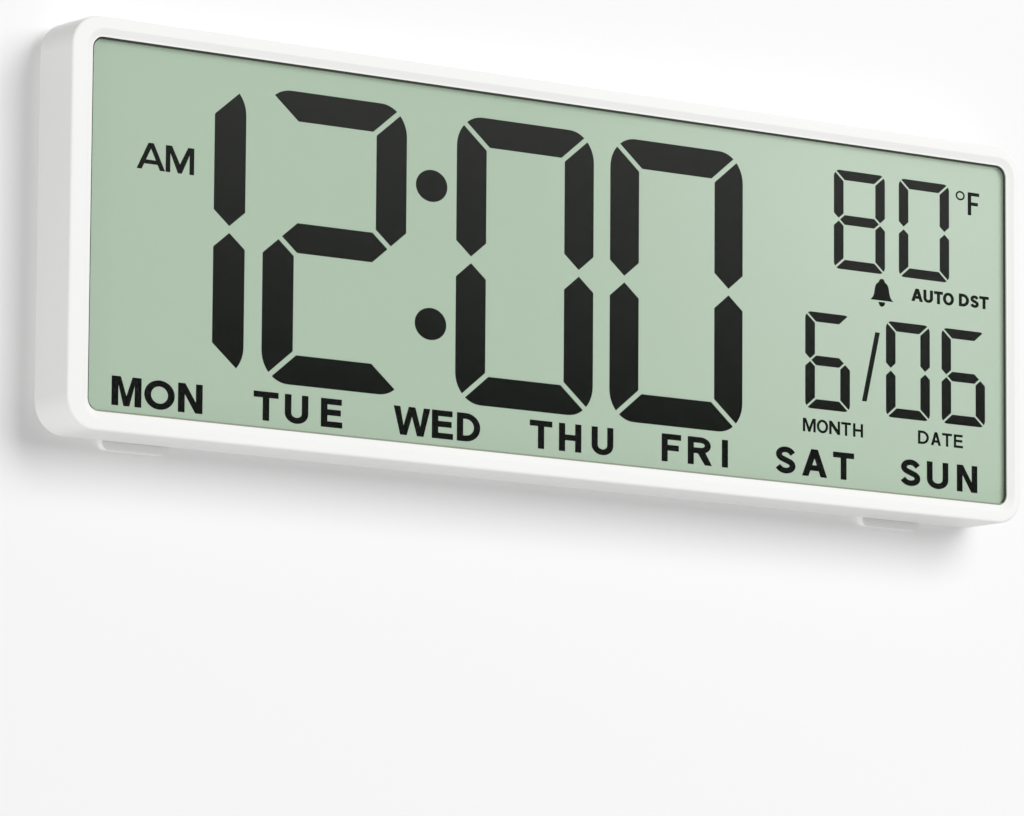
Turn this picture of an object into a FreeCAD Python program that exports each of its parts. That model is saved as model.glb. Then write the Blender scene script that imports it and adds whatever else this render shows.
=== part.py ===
import FreeCAD, Part
import math
import os
from types import SimpleNamespace
from FreeCAD import Placement, Rotation, Vector
import Sketcher

# Driving sizes of the day clock, in millimetres and degrees
SIZES = {
    # Case
    "case_width": 419.0,
    "case_height": 140.0,
    "case_depth": 25.0,
    "case_corner": 11.0,
    "case_wall": 2.4,
    "front_wall": 2.6,
    "front_edge_round": 1.0,
    "back_edge_round": 0.4,
    "cover_wall": 2.2,
    "cover_gap": 0.15,
    "plateau_inset": 14.0,
    "plateau_height": 5.0,
    "plateau_corner": 6.0,
    "plateau_edge_round": 0.8,
    # Display window and its bezel
    "bezel_side": 8.2,
    "bezel_end": 7.4,
    "window_corner": 3.6,
    "window_shift": 1.4,
    "bevel_width": 2.2,
    "bevel_depth": 1.2,
    "lip_width": 0.5,
    "lip_thickness": 0.6,
    "gasket_show": 0.7,
    "gasket_thickness": 0.5,
    "gasket_hidden": 1.3,
    # Display stack
    "glass_lap": 2.4,
    "glass_lap_below": 1.4,
    "glass_corner": 5.6,
    "glass_gap": 0.3,
    "polarizer_thickness": 0.3,
    "glass_thickness": 0.8,
    "cell_gap": 0.2,
    "glass_ledge": 2.2,
    "seal_width": 1.2,
    "frame_thickness": 2.0,
    "frame_border": 12.0,
    "frame_gap": 0.3,
    "catch_length": 14.0,
    "catch_reach": 0.8,
    "catch_height": 1.4,
    "catch_offset": 120.0,
    # Digits of the time
    "digit_width": 60.0,
    "digit_corner": 11.0,
    "digit_bar_across": 12.8,
    "digit_bar_up": 10.3,
    "digit_slit": 1.9,
    "digit_space": 7.5,
    "colon_space": 21.6,
    "dot_width": 13.4,
    "dot_height": 11.2,
    "dot_spread": 48.4,
    "time_inset": 122.7,
    "time_above": 8.2,
    "time_below": 15.6,
    # Digits of the temperature and the date
    "warmth_width": 24.0,
    "warmth_height": 36.4,
    "warmth_pitch": 30.8,
    "warmth_inset": 25.3,
    "warmth_above": 8.8,
    "date_width": 20.8,
    "date_height": 35.3,
    "date_pitch": 26.6,
    "date_inset": 8.1,
    "date_below": 27.75,
    "month_space": 17.2,
    "small_corner": 2.6,
    "small_bar_across": 4.4,
    "small_bar_up": 3.5,
    "small_slit": 0.85,
    "slash_shift": 1.4,
    "slash_lean": 6.3,
    "slash_height": 25.8,
    "slash_width": 2.1,
    # Screws
    "screw_inset": 8.6,
    "screw_clearance": 0.2,
    "screw_shank": 1.25,
    "screw_head": 2.6,
    "screw_head_height": 1.6,
    "screw_length": 9.0,
    "screw_sink": 1.2,
    "boss_radius": 3.0,
    "thread_fit": 0.02,
    "small_shank": 0.9,
    "small_head": 1.9,
    "small_head_height": 1.2,
    # Batteries and their bay
    "cell_radius": 7.25,
    "cell_length": 49.2,
    "nub_radius": 2.75,
    "nub_length": 1.3,
    "cell_clearance": 0.1,
    "seat_gap": 0.1,
    "row_clearance": 0.8,
    "contact_size": 9.0,
    "contact_thickness": 0.5,
    "spring_radius": 3.4,
    "spring_wire": 0.8,
    "spring_length": 5.5,
    "bay_slack": 0.1,
    "bay_wall": 2.4,
    "bay_floor": 1.2,
    "bay_divider": 1.4,
    "bay_divider_height": 12.5,
    "bay_ledge": 1.5,
    "bay_to_board": 109.0,
    "bay_rise": -2.0,
    "door_thickness": 2.0,
    "door_gap": 0.25,
    "door_barrel": 2.4,
    "trunnion_radius": 1.1,
    "trunnion_length": 1.8,
    "pivot_fit": 0.06,
    "notch_width": 16.0,
    "notch_height": 5.0,
    "notch_depth": 1.0,
    "notch_corner": 1.6,
    "door_grooves": 3,
    # Wall keyholes
    "keyhole_spacing": 250.0,
    "keyhole_drop": 34.0,
    "keyhole_radius": 4.5,
    "keyhole_slot": 4.6,
    "keyhole_travel": 8.0,
    # Legs
    "left_leg_inset": 41.0,
    "right_leg_inset": 46.0,
    "leg_width": 27.0,
    "leg_thickness": 2.8,
    "leg_drop": 2.9,
    "leg_reach": 60.0,
    "leg_corner": 2.5,
    "leg_barrel": 2.2,
    "leg_gap": 0.3,
    "leg_axis_lift": 2.6,
    "heel_height": 4.7,
    "heel_margin": 4.0,
    "heel_thickness": 1.7,
    "pin_radius": 1.2,
    "pin_fit": 0.05,
    "pin_hold": 1.8,
    # Circuit boards
    "board_thickness": 1.6,
    "board_to_leg": 54.5,
    "main_board_rise": -3.0,
    "main_board_width": 78.0,
    "main_board_height": 44.0,
    "main_board_lift": 9.6,
    "board_hole_inset": 4.0,
    "driver_board_inset": 23.5,
    "driver_board_height": 11.6,
    "driver_board_edge": 3.7,
    "zebra_width": 1.6,
    "zebra_apart": 12.0,
    "zebra_inset": 4.0,
    "chip_side": 12.0,
    "chip_corner": 0.4,
    "chip_height": 1.6,
    "crystal_width": 11.0,
    "crystal_thickness": 4.6,
    "crystal_corner": 2.2,
    "crystal_height": 3.5,
    "crystal_offset": 20.0,
    "crystal_drop": 6.0,
    "driver_chip_width": 14.0,
    "driver_chip_height": 6.0,
    "driver_chip_depth": 1.2,
    "driver_chip_gap": 0.5,
    "capacitor_radius": 2.5,
    "capacitor_height": 5.0,
    "capacitor_offset": 22.0,
    "capacitor_rise": 8.0,
    "capacitor_pitch": 7.0,
    # Buttons
    "button_pitch": 13.0,
    "button_width": 8.0,
    "button_height": 6.0,
    "button_corner": 2.5,
    "button_fit": 0.15,
    "button_sink": 0.4,
    "button_flange": 1.0,
    "button_flange_reach": 0.8,
    "button_travel": 0.5,
    "key_recess": 1.6,
    "key_margin": 3.0,
    "key_corner": 3.0,
    "switch_side": 6.0,
    "switch_height": 3.5,
    "plunger_radius": 1.6,
    "plunger_fit": 0.06,
    # Buzzer, sensor and wires
    "buzzer_offset": 24.75,
    "buzzer_rise": -2.0,
    "buzzer_radius": 11.0,
    "buzzer_height": 4.0,
    "buzzer_ring": 1.2,
    "grille_pitch": 3.2,
    "grille_slot": 1.6,
    "grille_corner": 0.72,
    "grille_length": 13.0,
    "grille_slots": 5,
    "sensor_radius": 1.4,
    "sensor_drop": 9.0,
    "sensor_offset": -24.0,
    "lead_spacing": 1.2,
    "lead_radius": 0.25,
    "wire_radius": 0.6,
    "wire_bend": 3.0,
    "battery_lead_bend": 1.0,
    "battery_lead_spread": 12.0,
    "battery_lead_landing": 4.0,
    "buzzer_wire_landing": 9.0,
    "buzzer_wire_inset": 5.0,
    "wire_lift": 1.5,
    "wire_pitch": 2.0,
    "wire_rise": 27.0,
    "ribbon_width": 14.0,
    "ribbon_thickness": 0.4,
    "socket_width": 17.0,
    "socket_height": 4.0,
    "socket_depth": 2.5,
    "socket_inset": 1.0,
}

doc = FreeCAD.newDocument("DayClock")


class Length:
    """A size that carries both its value and its formula in the sheet."""

    def __init__(self, value, formula):
        self.value = value
        self.formula = formula

    def __add__(self, other):
        other = length(other)
        return Length(self.value + other.value, f"({self.formula} + {other.formula})")

    def __sub__(self, other):
        other = length(other)
        return Length(self.value - other.value, f"({self.formula} - {other.formula})")

    def __mul__(self, other):
        other = length(other)
        return Length(self.value * other.value, f"{self.formula} * {other.formula}")

    def __truediv__(self, other):
        other = length(other)
        return Length(self.value / other.value, f"{self.formula} / {other.formula}")

    def __neg__(self):
        return Length(-self.value, f"(0 - {self.formula})")

    __radd__ = __add__
    __rmul__ = __mul__

    def __rsub__(self, other):
        return length(other) - self


def length(thing):
    """The thing itself if it is a Length, or a plain number as one."""
    return thing if isinstance(thing, Length) else Length(float(thing), f"({float(thing)})")


def make_sheet():
    """Put every driving size in a sheet and return them by name."""
    sheet = doc.addObject("Spreadsheet::Sheet", "Sizes")
    for row, (name, value) in enumerate(SIZES.items(), start=1):
        sheet.set(f"A{row}", name.replace("_", " "))
        sheet.set(f"B{row}", str(value))
        sheet.setAlias(f"B{row}", name)
    doc.recompute()
    return SimpleNamespace(**{name: Length(float(sheet.get(name)), f"Sizes.{name}") for name in SIZES})


s = make_sheet()
keyhole_rise = s.case_height / 2 - s.keyhole_drop


def bind(thing, prop, size):
    thing.setExpression(prop, length(size).formula)


class Piece:
    """One sub-part, padded and cut from flat outlines around the case's middle.

    Outlines on the wall plane have X to the right and Z up, and grow from the wall
    towards the front. Outlines on the side plane have the depth and Z, and grow
    along X. A lift is a distance from the wall plane towards the front.
    """

    def __init__(self, label):
        self.body = doc.addObject("PartDesign::Body", label)
        self.body.Label = label
        self.body.AllowCompound = True
        bind(self.body, "Placement.Base.z", -keyhole_rise)
        self.steps = 0

    def sketch(self, draw, x, z, lift, side=False):
        """An outline made by draw(), centred on (x, z) and starting at the lift."""
        self.steps += 1
        role = "YZ_Plane" if side else "XZ_Plane"
        plane = next(f for f in self.body.Origin.OriginFeatures if f.Role == role)
        sketch = self.body.newObject("Sketcher::SketchObject", f"{self.body.Name}_outline_{self.steps}")
        sketch.AttachmentSupport = [(plane, "")]
        sketch.MapMode = "FlatFace"
        across, start = (-length(lift), x) if side else (x, lift)
        bind(sketch, "AttachmentOffset.Base.x", across)
        bind(sketch, "AttachmentOffset.Base.y", z)
        bind(sketch, "AttachmentOffset.Base.z", start)
        draw(sketch)
        return sketch

    def pad(self, draw, x, z, lift, depth, side=False):
        sketch = self.sketch(draw, x, z, lift, side)
        pad = self.body.newObject("PartDesign::Pad", f"{self.body.Name}_pad_{self.steps}")
        pad.Profile = sketch
        pad.Refine = False
        bind(pad, "Length", depth)

    def cut(self, draw, x, z, lift, depth, side=False):
        """Cut from the lift towards the front, or along +X on the side plane."""
        sketch = self.sketch(draw, x, z, lift, side)
        cut = self.body.newObject("PartDesign::Pocket", f"{self.body.Name}_cut_{self.steps}")
        cut.Profile = sketch
        cut.Reversed = True
        cut.Refine = False
        bind(cut, "Length", depth)

    def cut_between(self, low, low_lift, high, high_lift, x, z):
        """Cut a hollow whose outline changes evenly from one lift to another."""
        first = self.sketch(low, x, z, low_lift)
        second = self.sketch(high, x, z, high_lift)
        loft = self.body.newObject("PartDesign::SubtractiveLoft", f"{self.body.Name}_loft_{self.steps}")
        loft.Profile = first
        loft.Sections = [second]
        loft.Ruled = True
        loft.Refine = False

    def round_edges(self, chosen, radius):
        """Round the edges for which chosen(edge) is true."""
        doc.recompute()
        base = self.body.Tip
        names = [f"Edge{i}" for i, edge in enumerate(base.Shape.Edges, start=1) if chosen(edge)]
        fillet = self.body.newObject("PartDesign::Fillet", f"{self.body.Name}_round_{self.steps}")
        fillet.Base = (base, names)
        fillet.Refine = False
        bind(fillet, "Radius", radius)


# Outlines, each centred on a spot of its sketch and with every size bound to the sheet
MIDDLE = (-1, 1)


def constrain(sketch, rules, sizes):
    """Add the plain rules and the dimensions, with each dimension bound to its size."""
    dimensions = [Sketcher.Constraint(*where, length(size).value) for size, *where in sizes]
    added = sketch.addConstraint([Sketcher.Constraint(*rule) for rule in rules] + dimensions)
    for index, (size, *_) in zip(added[len(rules):], sizes):
        bind(sketch, f"Constraints[{index}]", size)


def rounded_box(width, height, radius):
    """A rectangle with round corners."""
    width, height, radius = length(width), length(height), length(radius)

    def draw(sketch, spot=MIDDLE):
        middle, first, c = sketch.getPoint(*spot), sketch.GeometryCount, radius.value
        x, y = width.value / 2 - c, height.value / 2 - c
        for quarter, (cx, cy) in enumerate([(x, y), (-x, y), (-x, -y), (x, -y)]):
            circle = Part.Circle(middle + Vector(cx, cy, 0), Vector(0, 0, 1), c)
            start = quarter * math.pi / 2
            sketch.addGeometry(Part.ArcOfCircle(circle, start, start + math.pi / 2))
        rules = [("Symmetric", first, 3, first + 2, 3, *spot)]
        for quarter in range(4):
            arc, after = first + quarter, first + (quarter + 1) % 4
            line = sketch.addGeometry(Part.LineSegment(sketch.getPoint(arc, 2), sketch.getPoint(after, 1)))
            rules.append(("Tangent", arc, 2, line, 1))
            rules.append(("Tangent", line, 2, after, 1))
            rules.append(("Vertical" if quarter % 2 else "Horizontal", line))
        for quarter in range(3):
            rules.append(("Equal", first + quarter, first + quarter + 1))
        constrain(sketch, rules, [
            (radius, "Radius", first),
            (width, "DistanceX", first + 5, 1, first + 7, 1),
            (height, "DistanceY", first + 6, 1, first + 4, 1),
        ])

    return draw


def box(width, height):
    """A rectangle."""
    width, height = length(width), length(height)

    def draw(sketch, spot=MIDDLE):
        middle, first = sketch.getPoint(*spot), sketch.GeometryCount
        x, y = width.value / 2, height.value / 2
        corners = [middle + Vector(a, b, 0) for a, b in ((x, y), (-x, y), (-x, -y), (x, -y))]
        rules = [("Symmetric", first, 1, first + 2, 1, *spot)]
        for i in range(4):
            line, after = first + i, first + (i + 1) % 4
            sketch.addGeometry(Part.LineSegment(corners[i], corners[(i + 1) % 4]))
            rules.append(("Coincident", line, 2, after, 1))
            rules.append(("Vertical" if i % 2 else "Horizontal", line))
        constrain(sketch, rules, [
            (width, "DistanceX", first, 2, first, 1),
            (height, "DistanceY", first + 3, 1, first + 3, 2),
        ])

    return draw


def disc(radius):
    """A circle."""
    radius = length(radius)

    def draw(sketch, spot=MIDDLE):
        circle = sketch.addGeometry(Part.Circle(sketch.getPoint(*spot), Vector(0, 0, 1), radius.value))
        constrain(sketch, [("Coincident", circle, 3, *spot)], [(radius, "Radius", circle)])

    return draw


def ring(outer, inner):
    """One outline with another as a hole in it."""

    def draw(sketch):
        outer(sketch)
        inner(sketch)

    return draw


def spread(draw, spots):
    """The same outline at several spots of one sketch."""

    def draw_all(sketch):
        for x, z in spots:
            place = Vector(length(x).value, length(z).value, 0)
            point = sketch.addGeometry(Part.Point(place), True)
            constrain(sketch, [], [(x, "DistanceX", *MIDDLE, point, 1), (z, "DistanceY", *MIDDLE, point, 1)])
            draw(sketch, (point, 1))

    return draw_all


# Levels from the wall plane towards the front
rim_back = s.plateau_height
cover_front = rim_back + s.cover_wall
face = s.case_depth
bevel_floor = face - s.bevel_depth
lip_back = bevel_floor - s.lip_thickness
gasket_back = lip_back - s.gasket_thickness
polarizer_back = gasket_back - s.polarizer_thickness
front_wall_back = face - s.front_wall
front_glass_back = polarizer_back - s.glass_thickness
segments_back = front_glass_back - s.cell_gap
rear_glass_back = segments_back - s.glass_thickness
reflector_back = rear_glass_back - s.polarizer_thickness
frame_back = reflector_back - s.frame_thickness
frame_front = front_wall_back - s.frame_gap
driver_back = frame_back - s.board_thickness
board_front = s.main_board_lift + s.board_thickness
cell_lift = s.door_thickness + s.seat_gap + s.cell_clearance + s.cell_radius
bay_front = cell_lift + s.cell_radius + s.cell_clearance

# Outer and inner sizes that several pieces share
cavity_width = s.case_width - 2 * s.case_wall
cavity_height = s.case_height - 2 * s.case_wall
cavity_corner = s.case_corner - s.case_wall
window_width = s.case_width - 2 * s.bezel_side
window_height = s.case_height - 2 * s.bezel_end
window_right = s.window_shift + window_width / 2
glass_width = window_width + 2 * s.glass_lap
glass_height = window_height + s.glass_lap + s.glass_lap_below + s.glass_ledge
rear_glass_height = window_height + s.glass_lap + s.glass_lap_below
cover_width = cavity_width - 2 * s.cover_gap
cover_height = cavity_height - 2 * s.cover_gap
plateau_width = s.case_width - 2 * s.plateau_inset
plateau_tall = s.case_height - 2 * s.plateau_inset
glass_rise = (s.glass_lap - s.glass_lap_below - s.glass_ledge) / 2
rear_glass_rise = (s.glass_lap - s.glass_lap_below) / 2
driver_board_width = s.case_width - 2 * s.driver_board_inset
zebra_length = (driver_board_width - s.zebra_apart) / 2 - s.zebra_inset
zebra_middle = (s.zebra_apart + zebra_length) / 2
zebra_rise = -(window_height + s.glass_ledge) / 2 - s.glass_lap_below
driver_rise = (s.driver_board_height - s.case_height) / 2 + s.driver_board_edge
main_socket_rise = s.main_board_rise + (s.socket_height - s.main_board_height) / 2 + s.socket_inset
cover_root = s.cover_wall / 2

# Places along the case: the legs from its ends, and the rest from the legs
LEGS = {"left": s.left_leg_inset - s.case_width / 2, "right": s.case_width / 2 - s.right_leg_inset}
main_board_x = LEGS["right"] - s.board_to_leg
bay_middle = main_board_x - s.bay_to_board
buzzer_x = (LEGS["left"] + bay_middle) / 2 - s.buzzer_offset
driver_chip_x = main_board_x - (s.socket_width + s.driver_chip_width) / 2 - s.driver_chip_gap

# Where the screws stand: the four corners and the middle of the long sides
screw_x = s.case_width / 2 - s.screw_inset
screw_z = s.case_height / 2 - s.screw_inset
SCREWS = [(side * screw_x, end * screw_z) for side in (-1, 0, 1) for end in (-1, 1)]
board_screw_x = s.main_board_width / 2 - s.board_hole_inset
board_screw_z = s.main_board_height / 2 - s.board_hole_inset
BOARD_SCREWS = [
    (main_board_x + side * board_screw_x, s.main_board_rise + end * board_screw_z)
    for side in (-1, 1)
    for end in (-1, 1)
]
driver_screw_x = driver_board_width / 2 - s.board_hole_inset
DRIVER_SCREWS = [(side * driver_screw_x, driver_rise) for side in (-1, 1)]
ZEBRA_SPOTS = [(s.window_shift + side * zebra_middle, zebra_rise) for side in (-1, 1)]


def window_ring(grow):
    """The display window's outline, grown by the same amount on every side."""
    return rounded_box(window_width + 2 * grow, window_height + 2 * grow, s.window_corner + grow)


def on_outline(width, height, lift):
    """A test for the edges of an outline that lie in the plane at this lift."""
    x, z, y = length(width).value / 2, length(height).value / 2, -length(lift).value

    def chosen(edge):
        bounds = edge.BoundBox
        flat = abs(bounds.YMin - y) < 1e-4 and abs(bounds.YMax - y) < 1e-4
        reach_x = max(abs(bounds.XMin), abs(bounds.XMax))
        reach_z = max(abs(bounds.ZMin), abs(bounds.ZMax))
        return flat and (abs(reach_x - x) < 1e-4 or abs(reach_z - z) < 1e-4)

    return chosen


# Housing
def make_front_housing():
    """The white front shell: face, bevelled bezel, side walls and snap catches."""
    shell = Piece("front_housing")
    outline = rounded_box(s.case_width, s.case_height, s.case_corner)
    shell.pad(outline, 0, 0, rim_back, face - rim_back)
    shell.round_edges(on_outline(s.case_width, s.case_height, face), s.front_edge_round)
    shell.round_edges(on_outline(s.case_width, s.case_height, rim_back), s.back_edge_round)
    cavity = rounded_box(cavity_width, cavity_height, cavity_corner)
    shell.cut(cavity, 0, 0, rim_back, front_wall_back - rim_back)
    seat = window_ring(s.gasket_show + s.gasket_hidden + s.seat_gap)
    shell.cut(seat, s.window_shift, 0, front_wall_back, lip_back - front_wall_back)
    lip = s.gasket_show
    shell.cut(window_ring(lip), s.window_shift, 0, lip_back, face - lip_back)
    bevel_start = window_ring(lip + s.lip_width)
    bevel_end = window_ring(lip + s.lip_width + s.bevel_width)
    shell.cut_between(bevel_start, bevel_floor, bevel_end, face, s.window_shift, 0)
    catch_root = s.case_wall / 2
    catch = box(s.catch_length, s.catch_reach + catch_root)
    catch_z = cavity_height / 2 + (catch_root - s.catch_reach) / 2
    spots = [(side * s.catch_offset, end * catch_z) for side in (-1, 0, 1) for end in (-1, 1)]
    shell.pad(spread(catch, spots), 0, 0, frame_back - s.catch_height - s.seat_gap, s.catch_height)


# The legs' pockets
leg_axis_rise = s.leg_reach - s.case_height / 2 - s.leg_drop
pocket_width = s.leg_width + 2 * s.leg_gap
pocket_top = leg_axis_rise + s.heel_height + 2 * s.leg_gap
pocket_height = pocket_top + plateau_tall / 2

# The battery bay and its door
bay_length = 2 * s.contact_thickness + s.spring_length + s.cell_length + s.nub_length + s.bay_slack
bay_width = 2 * bay_length + s.bay_divider
bay_height = 4 * s.cell_radius + s.row_clearance
row_offset = s.cell_radius + s.row_clearance / 4
channel_height = 2 * s.door_barrel + 2 * s.door_gap
channel_depth = 2 * s.door_barrel + s.door_gap
recess_width = bay_width + 2 * s.bay_ledge
recess_height = channel_height + bay_height + s.bay_ledge
recess_rise = s.bay_rise + (s.bay_ledge - channel_height) / 2
recess_depth = s.door_thickness + s.seat_gap
channel_rise = s.bay_rise - (bay_height + channel_height) / 2
recess_top = recess_rise + recess_height / 2

# The row of keys
KEYS = ["mode", "up", "down", "alarm", "units"]
key_floor = s.key_recess + s.cover_wall
key_area_width = (len(KEYS) - 1) * s.button_pitch + s.button_width + 2 * s.key_margin
key_area_height = s.button_height + 2 * s.key_margin
flange_back = key_floor + s.seat_gap
flange_front = flange_back + s.button_flange
switch_back = s.main_board_lift - s.switch_height
plunger_length = s.switch_height - s.button_flange
KEY_SPOTS = [
    (main_board_x + (index - (len(KEYS) - 1) / 2) * s.button_pitch, s.main_board_rise)
    for index in range(len(KEYS))
]

sensor_x = main_board_x + s.sensor_offset
sensor_rise = s.main_board_rise - s.main_board_height / 2 - s.sensor_drop


def make_rear_cover():
    """The back: a flat rim, a raised plateau, the bay, the leg pockets and the keyholes."""
    cover = Piece("rear_cover")
    rim = rounded_box(cover_width, cover_height, cavity_corner - s.cover_gap)
    cover.pad(rim, 0, 0, rim_back, s.cover_wall)
    cover.pad(rounded_box(plateau_width, plateau_tall, s.plateau_corner), 0, 0, 0, rim_back)
    cover.round_edges(on_outline(plateau_width, plateau_tall, 0), s.plateau_edge_round)
    hollow = rounded_box(
        plateau_width - 2 * s.cover_wall, plateau_tall - 2 * s.cover_wall, s.plateau_corner - s.cover_wall
    )
    cover.cut(hollow, 0, 0, s.cover_wall, cover_front - s.cover_wall)
    add_leg_pockets(cover)
    add_battery_bay(cover)
    add_key_area(cover)
    add_sound_and_air(cover)
    add_keyholes(cover)
    cover.cut(spread(disc(s.screw_head + s.screw_clearance), SCREWS), 0, 0, rim_back, s.screw_sink)
    cover.cut(spread(disc(s.screw_shank + s.screw_clearance), SCREWS), 0, 0, rim_back, s.cover_wall)
    posts, pilots = disc(s.boss_radius), disc(s.small_shank + s.thread_fit)
    cover.pad(spread(posts, BOARD_SCREWS), 0, 0, cover_root, s.main_board_lift - cover_root)
    cover.cut(spread(pilots, BOARD_SCREWS), 0, 0, s.cover_wall, s.main_board_lift - s.cover_wall)


def add_leg_pockets(cover):
    """Open channels for the folded legs, with blind holes for the hinge pins."""
    block = box(pocket_width + 2 * s.cover_wall, pocket_height + cover_root)
    block_rise = (pocket_height + cover_root - plateau_tall) / 2 + cover_root
    blocks = spread(block, [(x, block_rise) for x in LEGS.values()])
    cover.pad(blocks, 0, 0, cover_root, cover_front - cover_root)
    pocket = box(pocket_width, pocket_height)
    pocket_rise = (pocket_height - plateau_tall) / 2
    cover.cut(spread(pocket, [(x, pocket_rise) for x in LEGS.values()]), 0, 0, 0, rim_back)
    bore = disc(s.pin_radius + s.thread_fit)
    for x in LEGS.values():
        start = x - pocket_width / 2 - s.pin_hold
        cover.cut(bore, start, leg_axis_rise, s.leg_axis_lift, pocket_width + 2 * s.pin_hold, side=True)


def add_battery_bay(cover):
    """The well for four cells, the door's recess and the channel for its hinge."""
    wall = 2 * s.bay_wall
    recess_block = box(recess_width + wall, recess_height + wall)
    cover.pad(recess_block, bay_middle, recess_rise, cover_root, channel_depth + s.bay_floor - cover_root)
    well_block = box(bay_width + wall, bay_height + wall)
    cover.pad(well_block, bay_middle, s.bay_rise, s.cover_wall, bay_front + s.bay_floor - s.cover_wall)
    cover.cut(box(recess_width, recess_height), bay_middle, recess_rise, 0, recess_depth)
    cover.cut(box(recess_width, channel_height), bay_middle, channel_rise, 0, channel_depth)
    cover.cut(box(bay_width, bay_height), bay_middle, s.bay_rise, 0, bay_front)
    divider = box(s.bay_divider, bay_height + s.bay_wall)
    cover.pad(divider, bay_middle, s.bay_rise, bay_front - s.bay_divider_height, s.bay_divider_height)
    reach = recess_width + 2 * s.trunnion_length + 2 * s.seat_gap
    bore = disc(s.trunnion_radius + s.pivot_fit)
    cover.cut(bore, bay_middle - reach / 2, channel_rise, s.door_barrel, reach, side=True)
    notch = rounded_box(s.notch_width, s.notch_height, s.notch_corner)
    cover.cut(notch, bay_middle, recess_top, 0, s.notch_depth)


def add_key_area(cover):
    """A sunken field with one opening for each key."""
    x, z = main_board_x, s.main_board_rise
    wall = 2 * s.cover_wall
    block = rounded_box(key_area_width + wall, key_area_height + wall, s.key_corner + s.cover_wall)
    cover.pad(block, x, z, cover_root, key_floor - cover_root)
    cover.cut(rounded_box(key_area_width, key_area_height, s.key_corner), x, z, 0, s.key_recess)
    opening = rounded_box(
        s.button_width + 2 * s.button_fit, s.button_height + 2 * s.button_fit, s.button_corner + s.button_fit
    )
    cover.cut(spread(opening, KEY_SPOTS), 0, 0, 0, key_floor)


def add_sound_and_air(cover):
    """The buzzer's ring and grille, and the slots beside the temperature sensor."""
    outer = s.buzzer_radius + s.seat_gap + s.buzzer_ring
    cover.pad(disc(outer), buzzer_x, s.buzzer_rise, cover_root, s.buzzer_height + cover_root)
    cover.cut(disc(s.buzzer_radius + s.seat_gap), buzzer_x, s.buzzer_rise, s.cover_wall, s.buzzer_height)
    slot = rounded_box(s.grille_length, s.grille_slot, s.grille_corner)
    count = int(s.grille_slots.value)
    spots = [
        (x, z + (index - (count - 1) / 2) * s.grille_pitch)
        for x, z in ((buzzer_x, s.buzzer_rise), (sensor_x, sensor_rise))
        for index in range(count)
    ]
    cover.cut(spread(slot, spots), 0, 0, 0, s.cover_wall)


def add_keyholes(cover):
    """Two keyholes: a round entry for a screw's head and a narrower slot above it."""
    for outline, lifted in (
        (disc(s.keyhole_radius), 0),
        (box(s.keyhole_slot, s.keyhole_travel), s.keyhole_travel / 2),
        (disc(s.keyhole_slot / 2), s.keyhole_travel),
    ):
        spots = [(side * s.keyhole_spacing / 2, keyhole_rise + lifted) for side in (-1, 1)]
        cover.cut(spread(outline, spots), 0, 0, 0, s.cover_wall)


def make_window_gasket():
    """The black gasket that shows as a thin dark line round the display."""
    outer = window_ring(s.gasket_show + s.gasket_hidden)
    gasket = Piece("window_gasket")
    gasket.pad(ring(outer, window_ring(0)), s.window_shift, 0, gasket_back, s.gasket_thickness)


def make_cover_screws():
    screws = Piece("cover_screws")
    head_back = rim_back + s.screw_sink - s.screw_head_height
    screws.pad(spread(disc(s.screw_shank), SCREWS), 0, 0, rim_back + s.screw_sink, s.screw_length)
    screws.pad(spread(disc(s.screw_head), SCREWS), 0, 0, head_back, s.screw_head_height)


# Display
def make_display_stack():
    """Two glass plates and their films, laid from the window backwards."""
    film = window_ring(s.gasket_show + s.gasket_hidden)
    front = rounded_box(glass_width, glass_height, s.glass_corner)
    rear = rounded_box(glass_width, rear_glass_height, s.glass_corner)
    for label, outline, rise, lift, thickness in (
        ("lcd_front_film", film, 0, polarizer_back, s.polarizer_thickness),
        ("lcd_front_glass", front, glass_rise, front_glass_back, s.glass_thickness),
        ("lcd_rear_glass", rear, rear_glass_rise, rear_glass_back, s.glass_thickness),
        ("lcd_reflector", rear, rear_glass_rise, reflector_back, s.polarizer_thickness),
    ):
        Piece(label).pad(outline, s.window_shift, rise, lift, thickness)


def make_display_seal():
    seal = Piece("lcd_edge_seal")
    edge = 2 * s.seal_width
    outer = rounded_box(glass_width, rear_glass_height, s.glass_corner)
    inner = rounded_box(glass_width - edge, rear_glass_height - edge, s.glass_corner - s.seal_width)
    seal.pad(ring(outer, inner), s.window_shift, rear_glass_rise, segments_back, s.cell_gap)


def make_display_frame():
    """The frame that holds the display in the housing and carries the screw bosses."""
    frame = Piece("lcd_frame")
    width = cavity_width - 2 * s.frame_gap
    height = cavity_height - 2 * s.frame_gap
    corner = cavity_corner - s.frame_gap
    frame.pad(rounded_box(width, height, corner), 0, 0, frame_back, frame_front - frame_back)
    room = 2 * s.glass_gap
    pocket = rounded_box(glass_width + room, glass_height + room, s.glass_corner + s.glass_gap)
    frame.cut(pocket, s.window_shift, glass_rise, reflector_back, frame_front - reflector_back)
    border = 2 * s.frame_border
    opening = rounded_box(width - border, height - border, s.window_corner)
    frame.cut(opening, 0, 0, frame_back, s.frame_thickness)
    slot = box(zebra_length + room, s.zebra_width + room)
    frame.cut(spread(slot, ZEBRA_SPOTS), 0, 0, frame_back, s.frame_thickness)
    boss_length = frame_back - cover_front
    frame.pad(spread(disc(s.boss_radius), SCREWS), 0, 0, cover_front, boss_length)
    frame.cut(spread(disc(s.screw_shank + s.thread_fit), SCREWS), 0, 0, cover_front, boss_length)
    frame.cut(spread(disc(s.small_shank + s.thread_fit), DRIVER_SCREWS), 0, 0, frame_back, s.frame_thickness)


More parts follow.
